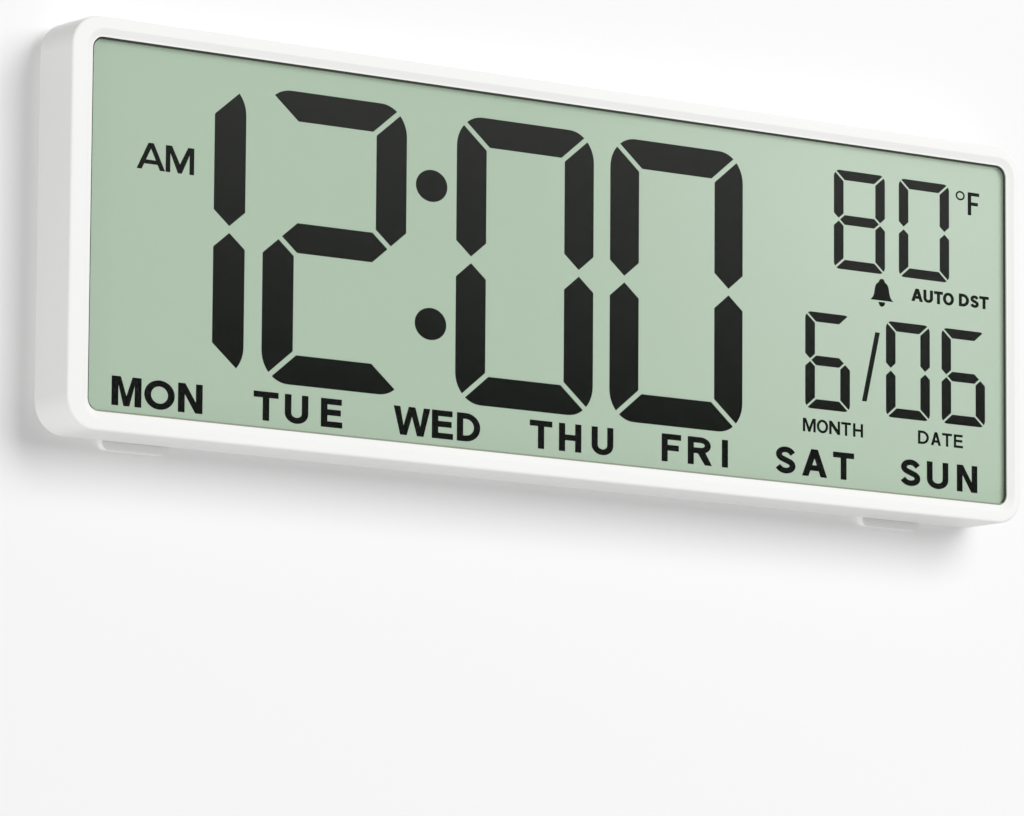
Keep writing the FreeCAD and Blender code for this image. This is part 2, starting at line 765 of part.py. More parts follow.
def make_zebra_strips():
    """Two conductive rubber strips between the glass ledge and the driver board."""
    zebra = Piece("zebra_strips")
    strip = box(zebra_length, s.zebra_width)
    zebra.pad(spread(strip, ZEBRA_SPOTS), 0, 0, frame_back, front_glass_back - frame_back)


# Lit bars of the display, drawn as thin plates between the two glasses
LIT = {"0": "abcdef", "1": "bc", "2": "abdeg", "6": "acdefg", "8": "abcdefg"}


def bar_outlines(width, height, across, up, slit):
    """The seven bars of a digit as points round its middle, cut by slanting slits."""
    w, t = width / 2, height / 2
    slant = math.hypot(across, up)
    gx, gz = slit / 2 * slant / up, slit / 2 * slant / across
    top = [(-w + gx, t), (w - gx, t), (w - across - gx, t - up), (-w + across + gx, t - up)]
    upper = [
        (w, t - gz), (w - across, t - up - gz), (w - across, gz + up / 2),
        (w - across / 2, gz), (w, gz + up / 2),
    ]
    middle = [
        (-w + across / 2 + gx, 0), (-w + across + gx, up / 2), (w - across - gx, up / 2),
        (w - across / 2 - gx, 0), (w - across - gx, -up / 2), (-w + across + gx, -up / 2),
    ]
    return {
        "a": top,
        "b": upper,
        "c": [(x, -z) for x, z in upper],
        "d": [(x, -z) for x, z in top],
        "e": [(-x, -z) for x, z in upper],
        "f": [(-x, z) for x, z in upper],
        "g": middle,
    }


def flat_face(points):
    """A face on the display plane through these points."""
    y = -segments_back.value
    corners = [Vector(x, y, z) for x, z in points]
    return Part.Face(Part.makePolygon(corners + corners[:1]))


def rounded_face(x, z, width, height, radius):
    """A face with round corners on the display plane."""
    y = -segments_back.value
    w, t = width / 2 - radius, height / 2 - radius
    edges, ends = [], []
    for quarter, (cx, cz) in enumerate([(w, t), (-w, t), (-w, -t), (w, -t)]):
        turns = [math.radians(90 * quarter + part) for part in (0, 45, 90)]
        start, middle, end = [
            Vector(x + cx + radius * math.cos(a), y, z + cz + radius * math.sin(a)) for a in turns
        ]
        edges.append(Part.Arc(start, middle, end).toShape())
        ends.append((start, end))
    for quarter in range(4):
        edges.append(Part.LineSegment(ends[quarter][1], ends[(quarter + 1) % 4][0]).toShape())
    return Part.Face(Part.Wire(Part.__sortEdges__(edges)))


def digit_faces(digit, x, z, width, height, across, up, slit, corner):
    """The lit bars of one digit, with the digit's outer corners rounded."""
    outlines = bar_outlines(width, height, across, up, slit)
    around = rounded_face(x, z, width, height, corner)
    faces = [flat_face([(x + px, z + pz) for px, pz in outlines[bar]]) for bar in LIT[digit]]
    return [face.common(around).Faces[0] for face in faces]


def feature(label, shapes):
    """A sub-part whose solids are made directly, placed like the rest."""
    thing = doc.addObject("Part::Feature", label)
    thing.Label = label
    thing.Shape = shapes[0] if len(shapes) == 1 else Part.makeCompound(shapes)
    thing.Placement = Placement(Vector(0, 0, -keyhole_rise.value), Rotation())
    return thing


def lit_bars(label, faces):
    thick = Vector(0, -s.cell_gap.value, 0)
    feature(label, [face.extrude(thick) for face in faces])


def make_time_bars():
    """Hours and minutes with the colon between them."""
    width = s.digit_width.value
    height = (window_height - s.time_above - s.time_below).value
    style = (s.digit_bar_across.value, s.digit_bar_up.value, s.digit_slit.value, s.digit_corner.value)
    z = (s.time_below - s.time_above).value / 2
    step = width + s.digit_space.value
    last = (window_right - s.time_inset).value - width / 2
    colon = last - step - width / 2 - s.colon_space.value / 2
    hour = colon - s.colon_space.value / 2 - width / 2
    faces = []
    for digit, x in (("0", last), ("0", last - step), ("2", hour), ("1", hour - step)):
        faces += digit_faces(digit, x, z, width, height, *style)
    for side in (-1, 1):
        dot = Part.Ellipse(Vector(0, 0, 0), s.dot_width.value / 2, s.dot_height.value / 2)
        face = Part.Face(Part.Wire(dot.toShape()))
        middle = Vector(colon, -segments_back.value, z + side * s.dot_spread.value / 2)
        face.Placement = Placement(middle, Rotation(Vector(1, 0, 0), 90))
        faces.append(face)
    lit_bars("lcd_time_bars", faces)


def small_style():
    return (s.small_bar_across.value, s.small_bar_up.value, s.small_slit.value, s.small_corner.value)


def make_temperature_bars():
    width, height = s.warmth_width.value, s.warmth_height.value
    z = (window_height / 2 - s.warmth_above).value - height / 2
    last = (window_right - s.warmth_inset).value - width / 2
    faces = []
    for place, digit in enumerate("08"):
        faces += digit_faces(digit, last - place * s.warmth_pitch.value, z, width, height, *small_style())
    lit_bars("lcd_temperature_bars", faces)


def make_date_bars():
    """The month, a leaning stroke and the day."""
    width, height = s.date_width.value, s.date_height.value
    z = (s.date_below - window_height / 2).value + height / 2
    last = (window_right - s.date_inset).value - width / 2
    first = last - s.date_pitch.value
    month = first - width - s.month_space.value
    faces = []
    places = (("6", last), ("0", first), ("6", month))
    for digit, x in places:
        faces += digit_faces(digit, x, z, width, height, *small_style())
    middle, lean = (first + month) / 2 + s.slash_shift.value, s.slash_lean.value / 2
    half, tall = s.slash_width.value / 2, s.slash_height.value / 2
    faces.append(flat_face([
        (middle - lean - half, z - tall), (middle - lean + half, z - tall),
        (middle + lean + half, z + tall), (middle + lean - half, z + tall),
    ]))
    lit_bars("lcd_date_bars", faces)


# Boards and what they carry
def make_main_board():
    board = Piece("main_board")
    outline = rounded_box(s.main_board_width, s.main_board_height, s.board_thickness)
    board.pad(outline, main_board_x, s.main_board_rise, s.main_board_lift, s.board_thickness)
    holes = spread(disc(s.small_shank + s.screw_clearance), BOARD_SCREWS)
    board.cut(holes, 0, 0, s.main_board_lift, s.board_thickness)


def make_driver_board():
    """The long board behind the display's lower edge, with room for a boss."""
    board = Piece("driver_board")
    outline = rounded_box(driver_board_width, s.driver_board_height, s.board_thickness)
    board.pad(outline, 0, driver_rise, driver_back, s.board_thickness)
    board.cut(disc(s.boss_radius + s.screw_clearance), 0, -screw_z, driver_back, s.board_thickness)
    holes = spread(disc(s.small_shank + s.screw_clearance), DRIVER_SCREWS)
    board.cut(holes, 0, 0, driver_back, s.board_thickness)


def make_board_screws():
    """Small screws: four into the cover's posts, two into the display frame."""
    screws = Piece("board_screws")
    reach = s.board_thickness + s.frame_thickness
    for spots, shank_back, head_back in (
        (BOARD_SCREWS, board_front - reach, board_front),
        (DRIVER_SCREWS, driver_back, driver_back - s.small_head_height),
    ):
        screws.pad(spread(disc(s.small_shank), spots), 0, 0, shank_back, reach)
        screws.pad(spread(disc(s.small_head), spots), 0, 0, head_back, s.small_head_height)


def make_chips():
    """The clock's controller and its crystal on the main board, and two display drivers."""
    x, z = main_board_x, s.main_board_rise
    controller = Piece("controller_chip")
    controller.pad(rounded_box(s.chip_side, s.chip_side, s.chip_corner), x, z, board_front, s.chip_height)
    crystal = Piece("quartz_crystal")
    can = rounded_box(s.crystal_width, s.crystal_thickness, s.crystal_corner)
    crystal.pad(can, x + s.crystal_offset, z - s.crystal_drop, board_front, s.crystal_height)
    drivers = Piece("display_driver_chips")
    chip = rounded_box(s.driver_chip_width, s.driver_chip_height, s.chip_corner)
    spots = [(side * driver_chip_x, driver_rise) for side in (-1, 1)]
    drivers.pad(spread(chip, spots), 0, 0, driver_back - s.driver_chip_depth, s.driver_chip_depth)
    capacitors = Piece("capacitors")
    spots = [
        (x + s.capacitor_offset, z + s.capacitor_rise + place * s.capacitor_pitch / 2) for place in (-1, 1)
    ]
    capacitors.pad(spread(disc(s.capacitor_radius), spots), 0, 0, board_front, s.capacitor_height)


def make_sockets():
    """One connector on each board for the flat cable between them."""
    sockets = Piece("cable_sockets")
    shape = box(s.socket_width, s.socket_height)
    sockets.pad(shape, main_board_x, main_socket_rise, board_front, s.socket_depth)
    sockets.pad(shape, main_board_x, driver_rise, driver_back - s.socket_depth, s.socket_depth)


def make_flat_cable():
    """A straight ribbon from the main board's socket to the driver board's."""
    top = (main_socket_rise - s.socket_height / 2).value
    low = (driver_rise + s.socket_height / 2).value
    start = (board_front + s.socket_depth / 2).value
    end = (driver_back - s.socket_depth / 2).value
    half = s.ribbon_thickness.value / 2
    x = (main_board_x - s.ribbon_width / 2).value
    corners = [(-start + half, top), (-end + half, low), (-end - half, low), (-start - half, top)]
    points = [Vector(x, y, z) for y, z in corners]
    face = Part.Face(Part.makePolygon(points + points[:1]))
    feature("flat_cable", [face.extrude(Vector(s.ribbon_width.value, 0, 0))])


def tube(points, radius, bend):
    """A round wire along straight runs joined by tangent arcs."""
    edges = []
    here = points[0]
    for before, corner, after in zip(points, points[1:], points[2:]):
        back, on = (before - corner).normalize(), (after - corner).normalize()
        half_turn = (math.pi - back.getAngle(on)) / 2
        shorter = min((before - corner).Length, (after - corner).Length)
        setback = min(bend * math.tan(half_turn), 0.45 * shorter)
        reach = setback / math.tan(half_turn)
        start, end = corner + back * setback, corner + on * setback
        inward = (back + on).normalize()
        middle = corner + inward * (reach / math.cos(half_turn) - reach)
        edges.append(Part.LineSegment(here, start).toShape())
        edges.append(Part.Arc(start, middle, end).toShape())
        here = end
    edges.append(Part.LineSegment(here, points[-1]).toShape())
    path = Part.Wire(edges)
    section = Part.Wire(Part.Circle(points[0], points[1] - points[0], radius).toShape())
    solid = path.makePipeShell([section], True, False)
    expected = math.pi * radius**2 * path.Length
    if abs(solid.Volume - expected) > 0.01 * expected:
        raise RuntimeError(f"a wire's volume is {solid.Volume:.2f}, not {expected:.2f}")
    return solid


def make_wires():
    """Battery leads from the bay's wall, and the buzzer's pair round the bay."""
    radius, bend = s.wire_radius.value, s.wire_bend.value
    above = board_front.value + s.wire_lift.value
    wall = (bay_middle + bay_width / 2 + s.bay_wall).value
    edge = (main_board_x - s.main_board_width / 2).value
    z = s.main_board_rise.value
    landing, spread_by = edge + s.battery_lead_landing.value, s.battery_lead_spread.value / 2
    for label, rise in (("battery_lead_red", z + spread_by), ("battery_lead_black", z - spread_by)):
        corners = ((wall, above), (landing, above), (landing, board_front.value))
        runs = [Vector(x, -lift, rise) for x, lift in corners]
        feature(label, [tube(runs, radius, s.battery_lead_bend.value)])
    pair = []
    buzzer_front = (s.cover_wall + s.buzzer_height + s.seat_gap).value
    landing_z = z + s.main_board_height.value / 2 - s.buzzer_wire_inset.value
    for side in (0, 1):
        apart = side * s.wire_pitch.value
        start_x, rise = buzzer_x.value + apart, s.wire_rise.value - apart
        end_x = edge + s.buzzer_wire_landing.value - apart
        runs = [
            Vector(start_x, -buzzer_front, s.buzzer_rise.value),
            Vector(start_x, -above, s.buzzer_rise.value),
            Vector(start_x, -above, rise),
            Vector(end_x, -above, rise),
            Vector(end_x, -above, landing_z),
            Vector(end_x, -board_front.value, landing_z),
        ]
        pair.append(tube(runs, radius, bend))
    feature("buzzer_wires", pair)


def make_buzzer():
    buzzer = Piece("piezo_buzzer")
    buzzer.pad(disc(s.buzzer_radius), buzzer_x, s.buzzer_rise, s.cover_wall + s.seat_gap, s.buzzer_height)


def make_sensor():
    """A bead thermistor on two stiff leads below the main board's edge."""
    sensor = Piece("temperature_sensor")
    lift = s.main_board_lift + s.board_thickness / 2
    edge = s.main_board_rise - s.main_board_height / 2
    leads = edge - sensor_rise
    spots = [(sensor_x + side * s.lead_spacing / 2, (edge + sensor_rise) / 2) for side in (-1, 1)]
    wires = spread(box(2 * s.lead_radius, leads), spots)
    sensor.pad(wires, 0, 0, lift - s.lead_radius, 2 * s.lead_radius)
    sensor.pad(disc(s.sensor_radius), sensor_x, sensor_rise, lift - s.sensor_radius, 2 * s.sensor_radius)


# Keys
def make_switches():
    switches = Piece("key_switches")
    plunger_front = flange_front + plunger_length
    bore_depth = plunger_front + s.button_travel + s.seat_gap - switch_back
    switches.pad(spread(box(s.switch_side, s.switch_side), KEY_SPOTS), 0, 0, switch_back, s.switch_height)
    bore = disc(s.plunger_radius + s.plunger_fit)
    switches.cut(spread(bore, KEY_SPOTS), 0, 0, switch_back, bore_depth)


def make_keys():
    """Each key is a capped button and the switch plunger that it presses."""
    for name, (x, z) in zip(KEYS, KEY_SPOTS):
        key = Piece(f"{name}_button")
        cap = rounded_box(s.button_width, s.button_height, s.button_corner)
        key.pad(cap, x, z, s.button_sink, flange_front - s.button_sink)
        reach = 2 * s.button_flange_reach
        flange = rounded_box(s.button_width + reach, s.button_height + reach, s.button_corner)
        key.pad(flange, x, z, flange_back, s.button_flange)
        key.round_edges(on_key_top(x, z), s.button_fit * 2)
        plunger = Piece(f"{name}_plunger")
        plunger.pad(disc(s.plunger_radius), x, z, flange_front, plunger_length)


def on_key_top(x, z):
    """A test for the edges round a key's outer face."""
    y = -s.button_sink.value

    def chosen(edge):
        return abs(edge.BoundBox.YMin - y) < 1e-4 and abs(edge.BoundBox.YMax - y) < 1e-4

    return chosen


# Batteries and door
def cell_places():
    """For each cell: its half of the bay, its row and the way its nub points."""
    return [(half, row, 1 if half == row else -1) for half in (-1, 1) for row in (-1, 1)]


def bay_end(half, inner):
    """The X of one end wall of a half of the bay."""
    outer_x = bay_middle + half * bay_width / 2
    inner_x = bay_middle + half * s.bay_divider / 2
    return inner_x if inner else outer_x


def make_cells():
    for number, (half, row, way) in enumerate(cell_places(), start=1):
        cell = Piece(f"aa_cell_{number}")
        low = bay_end(half, inner=half > 0)
        z = s.bay_rise + row * row_offset
        body_start = low + s.contact_thickness + (s.spring_length if way > 0 else s.nub_length)
        cell.pad(disc(s.cell_radius), body_start, z, cell_lift, s.cell_length, side=True)
        nub_start = body_start + s.cell_length if way > 0 else body_start - s.nub_length
        cell.pad(disc(s.nub_radius), nub_start, z, cell_lift, s.nub_length, side=True)


def make_contacts():
    """A plate at each end of each cell, and a spring under each cell's base."""
    plates = Piece("battery_contacts")
    springs = Piece("battery_springs")
    plate = box(s.contact_size, s.contact_size)
    coil = ring(disc(s.spring_radius), disc(s.spring_radius - s.spring_wire))
    for half, row, way in cell_places():
        z = s.bay_rise + row * row_offset
        low, high = bay_end(half, inner=half > 0), bay_end(half, inner=half < 0)
        plates.pad(plate, low, z, cell_lift, s.contact_thickness, side=True)
        plates.pad(plate, high - s.contact_thickness, z, cell_lift, s.contact_thickness, side=True)
        start = low + s.contact_thickness if way > 0 else high - s.contact_thickness - s.spring_length
        springs.pad(coil, start, z, cell_lift, s.spring_length, side=True)


def make_battery_door():
    """A flat door with a round hinge edge and a trunnion at each end."""
    door = Piece("battery_door")
    width = recess_width - 2 * s.door_gap
    top = recess_top - s.door_gap
    plate_height = top - channel_rise
    door.pad(box(width, plate_height), bay_middle, (top + channel_rise) / 2, 0, s.door_thickness)
    door.pad(disc(s.door_barrel), bay_middle - width / 2, channel_rise, s.door_barrel, width, side=True)
    reach = width + 2 * s.trunnion_length
    door.pad(disc(s.trunnion_radius), bay_middle - reach / 2, channel_rise, s.door_barrel, reach, side=True)
    grooves = [(0, -index * s.notch_height / 2) for index in range(1, int(s.door_grooves.value) + 1)]
    groove = spread(box(s.notch_width, s.notch_depth), grooves)
    door.cut(groove, bay_middle, top, 0, s.notch_depth / 2)


# Legs
def make_legs():
    """Two flat legs that fold into the back and swing out to prop the clock."""
    for side, x in LEGS.items():
        leg = Piece(f"{side}_leg")
        front = rim_back - s.leg_gap
        middle = leg_axis_rise - s.leg_reach / 2
        blade = rounded_box(s.leg_width, s.leg_reach, s.leg_corner)
        leg.pad(blade, x, middle, front - s.leg_thickness, s.leg_thickness)
        start = x - s.leg_width / 2
        leg.pad(disc(s.leg_barrel), start, leg_axis_rise, s.leg_axis_lift, s.leg_width, side=True)
        heel = box(s.leg_width - 2 * s.heel_margin, s.heel_height)
        back = s.leg_axis_lift - s.heel_thickness
        leg.pad(heel, x, leg_axis_rise + s.heel_height / 2, back, s.heel_thickness)
        bore = disc(s.pin_radius + s.pin_fit)
        leg.cut(bore, start, leg_axis_rise, s.leg_axis_lift, s.leg_width, side=True)
        pin = Piece(f"{side}_leg_pin")
        reach = pocket_width + 2 * s.pin_hold
        pin.pad(disc(s.pin_radius), x - reach / 2, leg_axis_rise, s.leg_axis_lift, reach, side=True)


def check_and_write():
    """Stop on any failed object, then write one file for each sub-part."""
    for body in doc.findObjects("PartDesign::Body"):
        body.Tip.Refine = True
    doc.recompute()
    for thing in doc.Objects:
        if {"Invalid", "Error"} & set(thing.State):
            raise RuntimeError(f"{thing.Label} failed: {thing.State}")
    os.makedirs("parts", exist_ok=True)
    for thing in doc.Objects:
        if thing.TypeId in ("PartDesign::Body", "Part::Feature"):
            if thing.Shape.isNull() or not thing.Shape.isValid():
                raise RuntimeError(f"{thing.Label} has no valid shape")
            thing.Shape.exportStep(os.path.join("parts", f"{thing.Label}.step"))
            print(f"{thing.Label}: {len(thing.Shape.Solids)} solids, {thing.Shape.Volume:.1f} mm3")


make_front_housing()
make_rear_cover()
make_window_gasket()
make_cover_screws()
make_display_stack()
make_display_seal()
make_display_frame()
make_zebra_strips()
make_time_bars()
make_temperature_bars()
make_date_bars()
make_main_board()
make_driver_board()
make_board_screws()
make_chips()
make_sockets()
make_flat_cable()
make_wires()
make_buzzer()
make_sensor()
make_switches()
make_keys()
make_cells()
make_contacts()
make_battery_door()
make_legs()
check_and_write()
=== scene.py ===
"""The looks of a wall-hung day clock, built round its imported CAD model.

Sizes on the object are millimetres. X runs to the right and Z up from the middle
of the case, and a lift is a distance from the wall towards the front.
"""

from __future__ import annotations

import logging
import math
from collections.abc import Mapping, Sequence
from dataclasses import astuple, dataclass
from enum import Enum
from typing import Any

import bpy
import numpy as np
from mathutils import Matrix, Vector

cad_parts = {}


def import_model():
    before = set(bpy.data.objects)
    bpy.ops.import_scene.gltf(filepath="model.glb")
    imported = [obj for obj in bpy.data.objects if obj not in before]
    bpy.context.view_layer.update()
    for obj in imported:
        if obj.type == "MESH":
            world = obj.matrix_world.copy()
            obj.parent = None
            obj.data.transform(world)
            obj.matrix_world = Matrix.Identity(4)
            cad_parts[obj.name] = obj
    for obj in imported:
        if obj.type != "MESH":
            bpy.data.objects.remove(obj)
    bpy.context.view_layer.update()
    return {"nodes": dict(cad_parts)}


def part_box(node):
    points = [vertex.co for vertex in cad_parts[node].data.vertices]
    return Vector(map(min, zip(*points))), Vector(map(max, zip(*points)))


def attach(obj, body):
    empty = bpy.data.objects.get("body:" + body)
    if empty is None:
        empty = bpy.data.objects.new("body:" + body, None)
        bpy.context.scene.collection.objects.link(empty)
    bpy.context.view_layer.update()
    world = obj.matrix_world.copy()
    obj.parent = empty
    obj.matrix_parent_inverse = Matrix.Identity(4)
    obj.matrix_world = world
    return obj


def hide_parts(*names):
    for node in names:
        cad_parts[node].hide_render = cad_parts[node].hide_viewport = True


LOG = logging.getLogger("day_clock")
MM = 0.001
TURN = 2.0 * math.pi
SIGN_SHARE = 0.8
Pair = tuple[float, float]
Triple = tuple[float, float, float]
Colour = Triple
Array = np.ndarray
Loops = list[Array]
Inputs = dict[str, Any]
Material = bpy.types.Material
Piece = bpy.types.Object


# Shader maths
class Sock:
    """An output socket that Python's operators work on, each adding a Math node."""

    def __init__(self, tree: Tree, socket: bpy.types.NodeSocket) -> None:
        """Wrap a socket of a tree."""
        self.tree = tree
        self.socket = socket

    def maths(self, operation: str, *others: float | Sock) -> Sock:
        """Apply a Math node's operation to this value and the others."""
        values = dict(enumerate((self, *others)))
        return self.tree.node("ShaderNodeMath", {"operation": operation}, values)

    def __add__(self, other: float | Sock) -> Sock:
        """This value plus another."""
        return self.maths("ADD", other)

    def __sub__(self, other: float | Sock) -> Sock:
        """This value less another."""
        return self.maths("SUBTRACT", other)

    def __rsub__(self, other: float) -> Sock:
        """A number less this value."""
        return self.maths("MULTIPLY", -1.0) + other

    def __mul__(self, other: float | Sock) -> Sock:
        """This value times another."""
        return self.maths("MULTIPLY", other)

    __radd__ = __add__
    __rmul__ = __mul__

    def over(self, limit: float) -> Sock:
        """1 where this value is above the limit, and 0 elsewhere."""
        return self.maths("GREATER_THAN", limit)

    def ramp(self, low: float, high: float) -> Sock:
        """Rise evenly from 0 at low to 1 at high, and stay there."""
        sockets = {"Value": self, "From Min": low, "From Max": high}
        return self.tree.node("ShaderNodeMapRange", {"clamp": True}, sockets)


class Tree:
    """The node tree of a new material or of the world."""

    def __init__(self, owner: Material | bpy.types.World) -> None:
        """Take over the owner's tree and empty it."""
        owner.use_nodes = True
        self.owner = owner
        self.nodes = owner.node_tree.nodes
        self.links = owner.node_tree.links
        self.nodes.clear()

    def node(
        self,
        kind: str,
        settings: Mapping[str, Any],
        sockets: Mapping[str | int, Any],
        output: str | int = 0,
    ) -> Sock | None:
        """Add a node.

        Args:
            kind: The node's type.
            settings: Its properties, which are set first.
            sockets: A value or a Sock for each input that is used.
            output: The output that is returned.

        Returns:
            That output, or None for a node without outputs.
        """
        node = self.nodes.new(kind)
        for name, value in settings.items():
            setattr(node, name, value)
        for name, value in sockets.items():
            if isinstance(value, Sock):
                self.links.new(value.socket, node.inputs[name])
            else:
                node.inputs[name].default_value = value
        return Sock(self, node.outputs[output]) if node.outputs else None

    def place(self, scale: Sequence[float] = (1.0, 1.0, 1.0)) -> Sock:
        """Object coordinates, with a pattern that many times finer along each axis."""
        where = self.node("ShaderNodeTexCoord", {}, {}, "Object")
        sockets = {"Vector": where, "Scale": tuple(scale)}
        return self.node("ShaderNodeMapping", {"vector_type": "POINT"}, sockets)

    def axis(self, name: str) -> Sock:
        """One Object coordinate, X, Y or Z, in metres."""
        where = self.node("ShaderNodeTexCoord", {}, {}, "Object")
        return self.node("ShaderNodeSeparateXYZ", {}, {"Vector": where}, name)

    def noise(self, where: Sock, scale: float, detail: float = 2.0) -> Sock:
        """Smooth noise from 0 to 1."""
        sockets = {"Vector": where, "Scale": scale, "Detail": detail}
        return self.node("ShaderNodeTexNoise", {}, sockets, "Fac")

    def mix(self, factor: Sock | float, first: Colour | Sock, second: Colour | Sock) -> Sock:
        """A colour between two others: the first at factor 0 and the second at 1."""
        ends = {6: first, 7: second}
        sockets = {
            key: end if isinstance(end, Sock) else (*end, 1.0) for key, end in ends.items()
        }
        return self.node("ShaderNodeMix", {"data_type": "RGBA"}, {0: factor, **sockets}, 2)

    def uneven(self, factor: Sock, colour: Colour, low: float, high: float) -> Sock:
        """A colour that goes from low times itself to high times as the factor rises."""
        return self.mix(factor, shade(colour, low), shade(colour, high))

    def bump(self, height: Sock, distance: float) -> Sock:
        """A normal that follows a height times a distance in metres."""
        sockets = {"Height": height, "Distance": distance, "Strength": 1.0}
        return self.node("ShaderNodeBump", {}, sockets, "Normal")


def shade(colour: Colour, factor: float) -> Colour:
    """A colour made lighter or darker by a factor."""
    return tuple(min(1.0, part * factor) for part in colour)


# Finishes
@dataclass(frozen=True)
class Finish:
    """A surface finish, made into a material once."""

    name: str

    def build(self) -> Material:
        """Make the material."""
        tree = Tree(bpy.data.materials.new(self.name))
        sockets = {name.replace("_", " "): value for name, value in self.paint(tree).items()}
        shader = tree.node("ShaderNodeBsdfPrincipled", {}, sockets)
        tree.node("ShaderNodeOutputMaterial", {}, {"Surface": shader})
        return tree.owner

    def paint(self, tree: Tree) -> Inputs:
        """Add the finish's nodes to the new material's tree.

        Args:
            tree: The tree, which is empty so far.

        Returns:
            The Principled shader's inputs, with underscores for spaces.
        """
        raise NotImplementedError


@dataclass(frozen=True)
class Moulded(Finish):
    """Moulded plastic: an eroded grain, a slow drift of tone and uneven gloss."""

    colour: Colour
    roughness: float = 0.42
    grain: float = 2600.0
    depth: float = 0.000008
    drift: float = 0.02
    gloss_drift: float = 0.1
    tone_scale: float = 14.0
    gloss_scale: float = 60.0

    def paint(self, tree: Tree) -> Inputs:
        """Add the nodes."""
        where = tree.place()
        broad = tree.noise(where, self.tone_scale)
        fine = tree.noise(where, self.grain, 3.0)
        colour = tree.uneven(broad, self.colour, 1.0 - self.drift, 1.0 + self.drift)
        rough = (tree.noise(where, self.gloss_scale) - 0.5) * self.gloss_drift + self.roughness
        return dict(Base_Color=colour, Roughness=rough, Normal=tree.bump(fine, self.depth))


@dataclass(frozen=True)
class RubberWithPaintedLight(Finish):
    """Black rubber with a paler painted light along its lowest edge, where light falls on it."""

    colour: Colour
    dust: Colour
    foot: float
    grain: float = 900.0
    ragged: float = 0.0004
    edge: Pair = (0.0023, 0.0029)
    cover: float = 0.9

    def paint(self, tree: Tree) -> Inputs:
        """Add the nodes: painted light covers all below a ragged line just above the foot."""
        grain = tree.noise(tree.place(), self.grain, 3.0)
        height = tree.axis("Z") - self.foot
        # Painted light: the rubber is made paler below a ragged line just above its foot, standing
        # in for light falling on its lowest edge.
        painted_lit = 1.0 - (height + grain * self.ragged).ramp(*self.edge)
        colour = tree.mix(painted_lit * self.cover, self.colour, self.dust)
        normal = tree.bump(grain, 0.00001)
        return dict(Base_Color=colour, Roughness=grain * 0.2 + 0.6, Normal=normal)


@dataclass(frozen=True)
class Metal(Finish):
    """Plated or drawn metal with fine lines along one axis."""

    colour: Colour
    roughness: float = 0.28
    lines: Triple = (40.0, 1500.0, 1500.0)
    depth: float = 0.000004
    patch_scale: float = 300.0
    shades: Pair = (0.88, 1.06)
    gloss_drift: float = 0.25

    def paint(self, tree: Tree) -> Inputs:
        """Add the nodes."""
        lines = tree.noise(tree.place(self.lines), 1.0, 4.0)
        broad = tree.noise(tree.place(), self.patch_scale)
        colour = tree.uneven(broad, self.colour, *self.shades)
        rough = (lines - 0.5) * self.gloss_drift + self.roughness
        normal = tree.bump(lines, self.depth)
        return dict(Base_Color=colour, Metallic=1.0, Roughness=rough, Normal=normal)


@dataclass(frozen=True)
class ClearSheet(Finish):
    """Clear film or glass: it lets nearly all light through and hazes a little."""

    tint: Colour
    haze: float
    roughness: float
    streaks: Triple = (3.0, 1.0, 3.0)
    shades: Pair = (0.97, 1.03)

    def paint(self, tree: Tree) -> Inputs:
        """Add the nodes."""
        colour = tree.uneven(tree.noise(tree.place(self.streaks), 4.0), self.tint, *self.shades)
        return dict(Base_Color=colour, Roughness=self.roughness, Alpha=self.haze)


@dataclass(frozen=True)
class Reflector(Finish):
    """The green-grey ground of the display, with painted light that makes it paler towards its
    upper right.
    """

    dim: Colour
    pale: Colour
    across: Pair = (-0.02, 0.12)
    up: Pair = (-0.1, 0.0)
    up_share: float = 0.75
    cloud_scale: float = 11.0
    cloud: float = 0.15
    fibre_scale: float = 2600.0
    fibre_from: float = 0.4
    fibre_share: float = 0.12
    fibre: Colour = (0.2, 0.25, 0.2)

    def paint(self, tree: Tree) -> Inputs:
        """Add the nodes: painted light makes it paler along X, and more so further up."""
        where = tree.place()
        # Painted light: the ground goes from the dim colour to the pale one towards the upper
        # right, where the lamp falls.
        rise = tree.axis("Z").ramp(*self.up) * self.up_share + (1.0 - self.up_share)
        cloud = (tree.noise(where, self.cloud_scale) - 0.5) * self.cloud
        fibre = tree.noise(where, self.fibre_scale)
        ground = tree.mix(tree.axis("X").ramp(*self.across) * rise + cloud, self.dim, self.pale)
        speck = tree.mix((fibre - self.fibre_from) * self.fibre_share, ground, self.fibre)
        normal = tree.bump(fibre, 0.000004)
        return dict(Base_Color=speck, Roughness=0.8, Specular_IOR_Level=0.2, Normal=normal)


@dataclass(frozen=True)
class Ink(Finish):
    """Darkened liquid crystal, a little paler in the upper bars."""

    low: Colour
    high: Colour
    span: Pair = (-0.09, 0.02)
    patch_scale: float = 220.0
    patches: float = 0.3

    def paint(self, tree: Tree) -> Inputs:
        """Add the nodes: the colour goes from low to high along Z."""
        patchy = (tree.noise(tree.place(), self.patch_scale, 3.0) - 0.5) * self.patches
        colour = tree.mix(tree.axis("Z").ramp(*self.span) + patchy, self.low, self.high)
        return dict(Base_Color=colour, Roughness=0.6, Specular_IOR_Level=0.02)


@dataclass(frozen=True)
class Striped(Finish):
    """Two colours in even stripes across one axis."""

    first: Colour
    second: Colour
    axis: str
    pitch: float
    roughness: float = 0.5
    edge: float = 0.2
    relief: float = 0.1

    def paint(self, tree: Tree) -> Inputs:
        """Add the nodes: a sine along the axis, sharpened into stripes."""
        wave = (tree.axis(self.axis) * (TURN / self.pitch)).maths("SINE")
        colour = tree.mix(wave.ramp(-self.edge, self.edge), self.first, self.second)
        normal = tree.bump(wave, self.pitch * self.relief)
        return dict(Base_Color=colour, Roughness=self.roughness, Normal=normal)


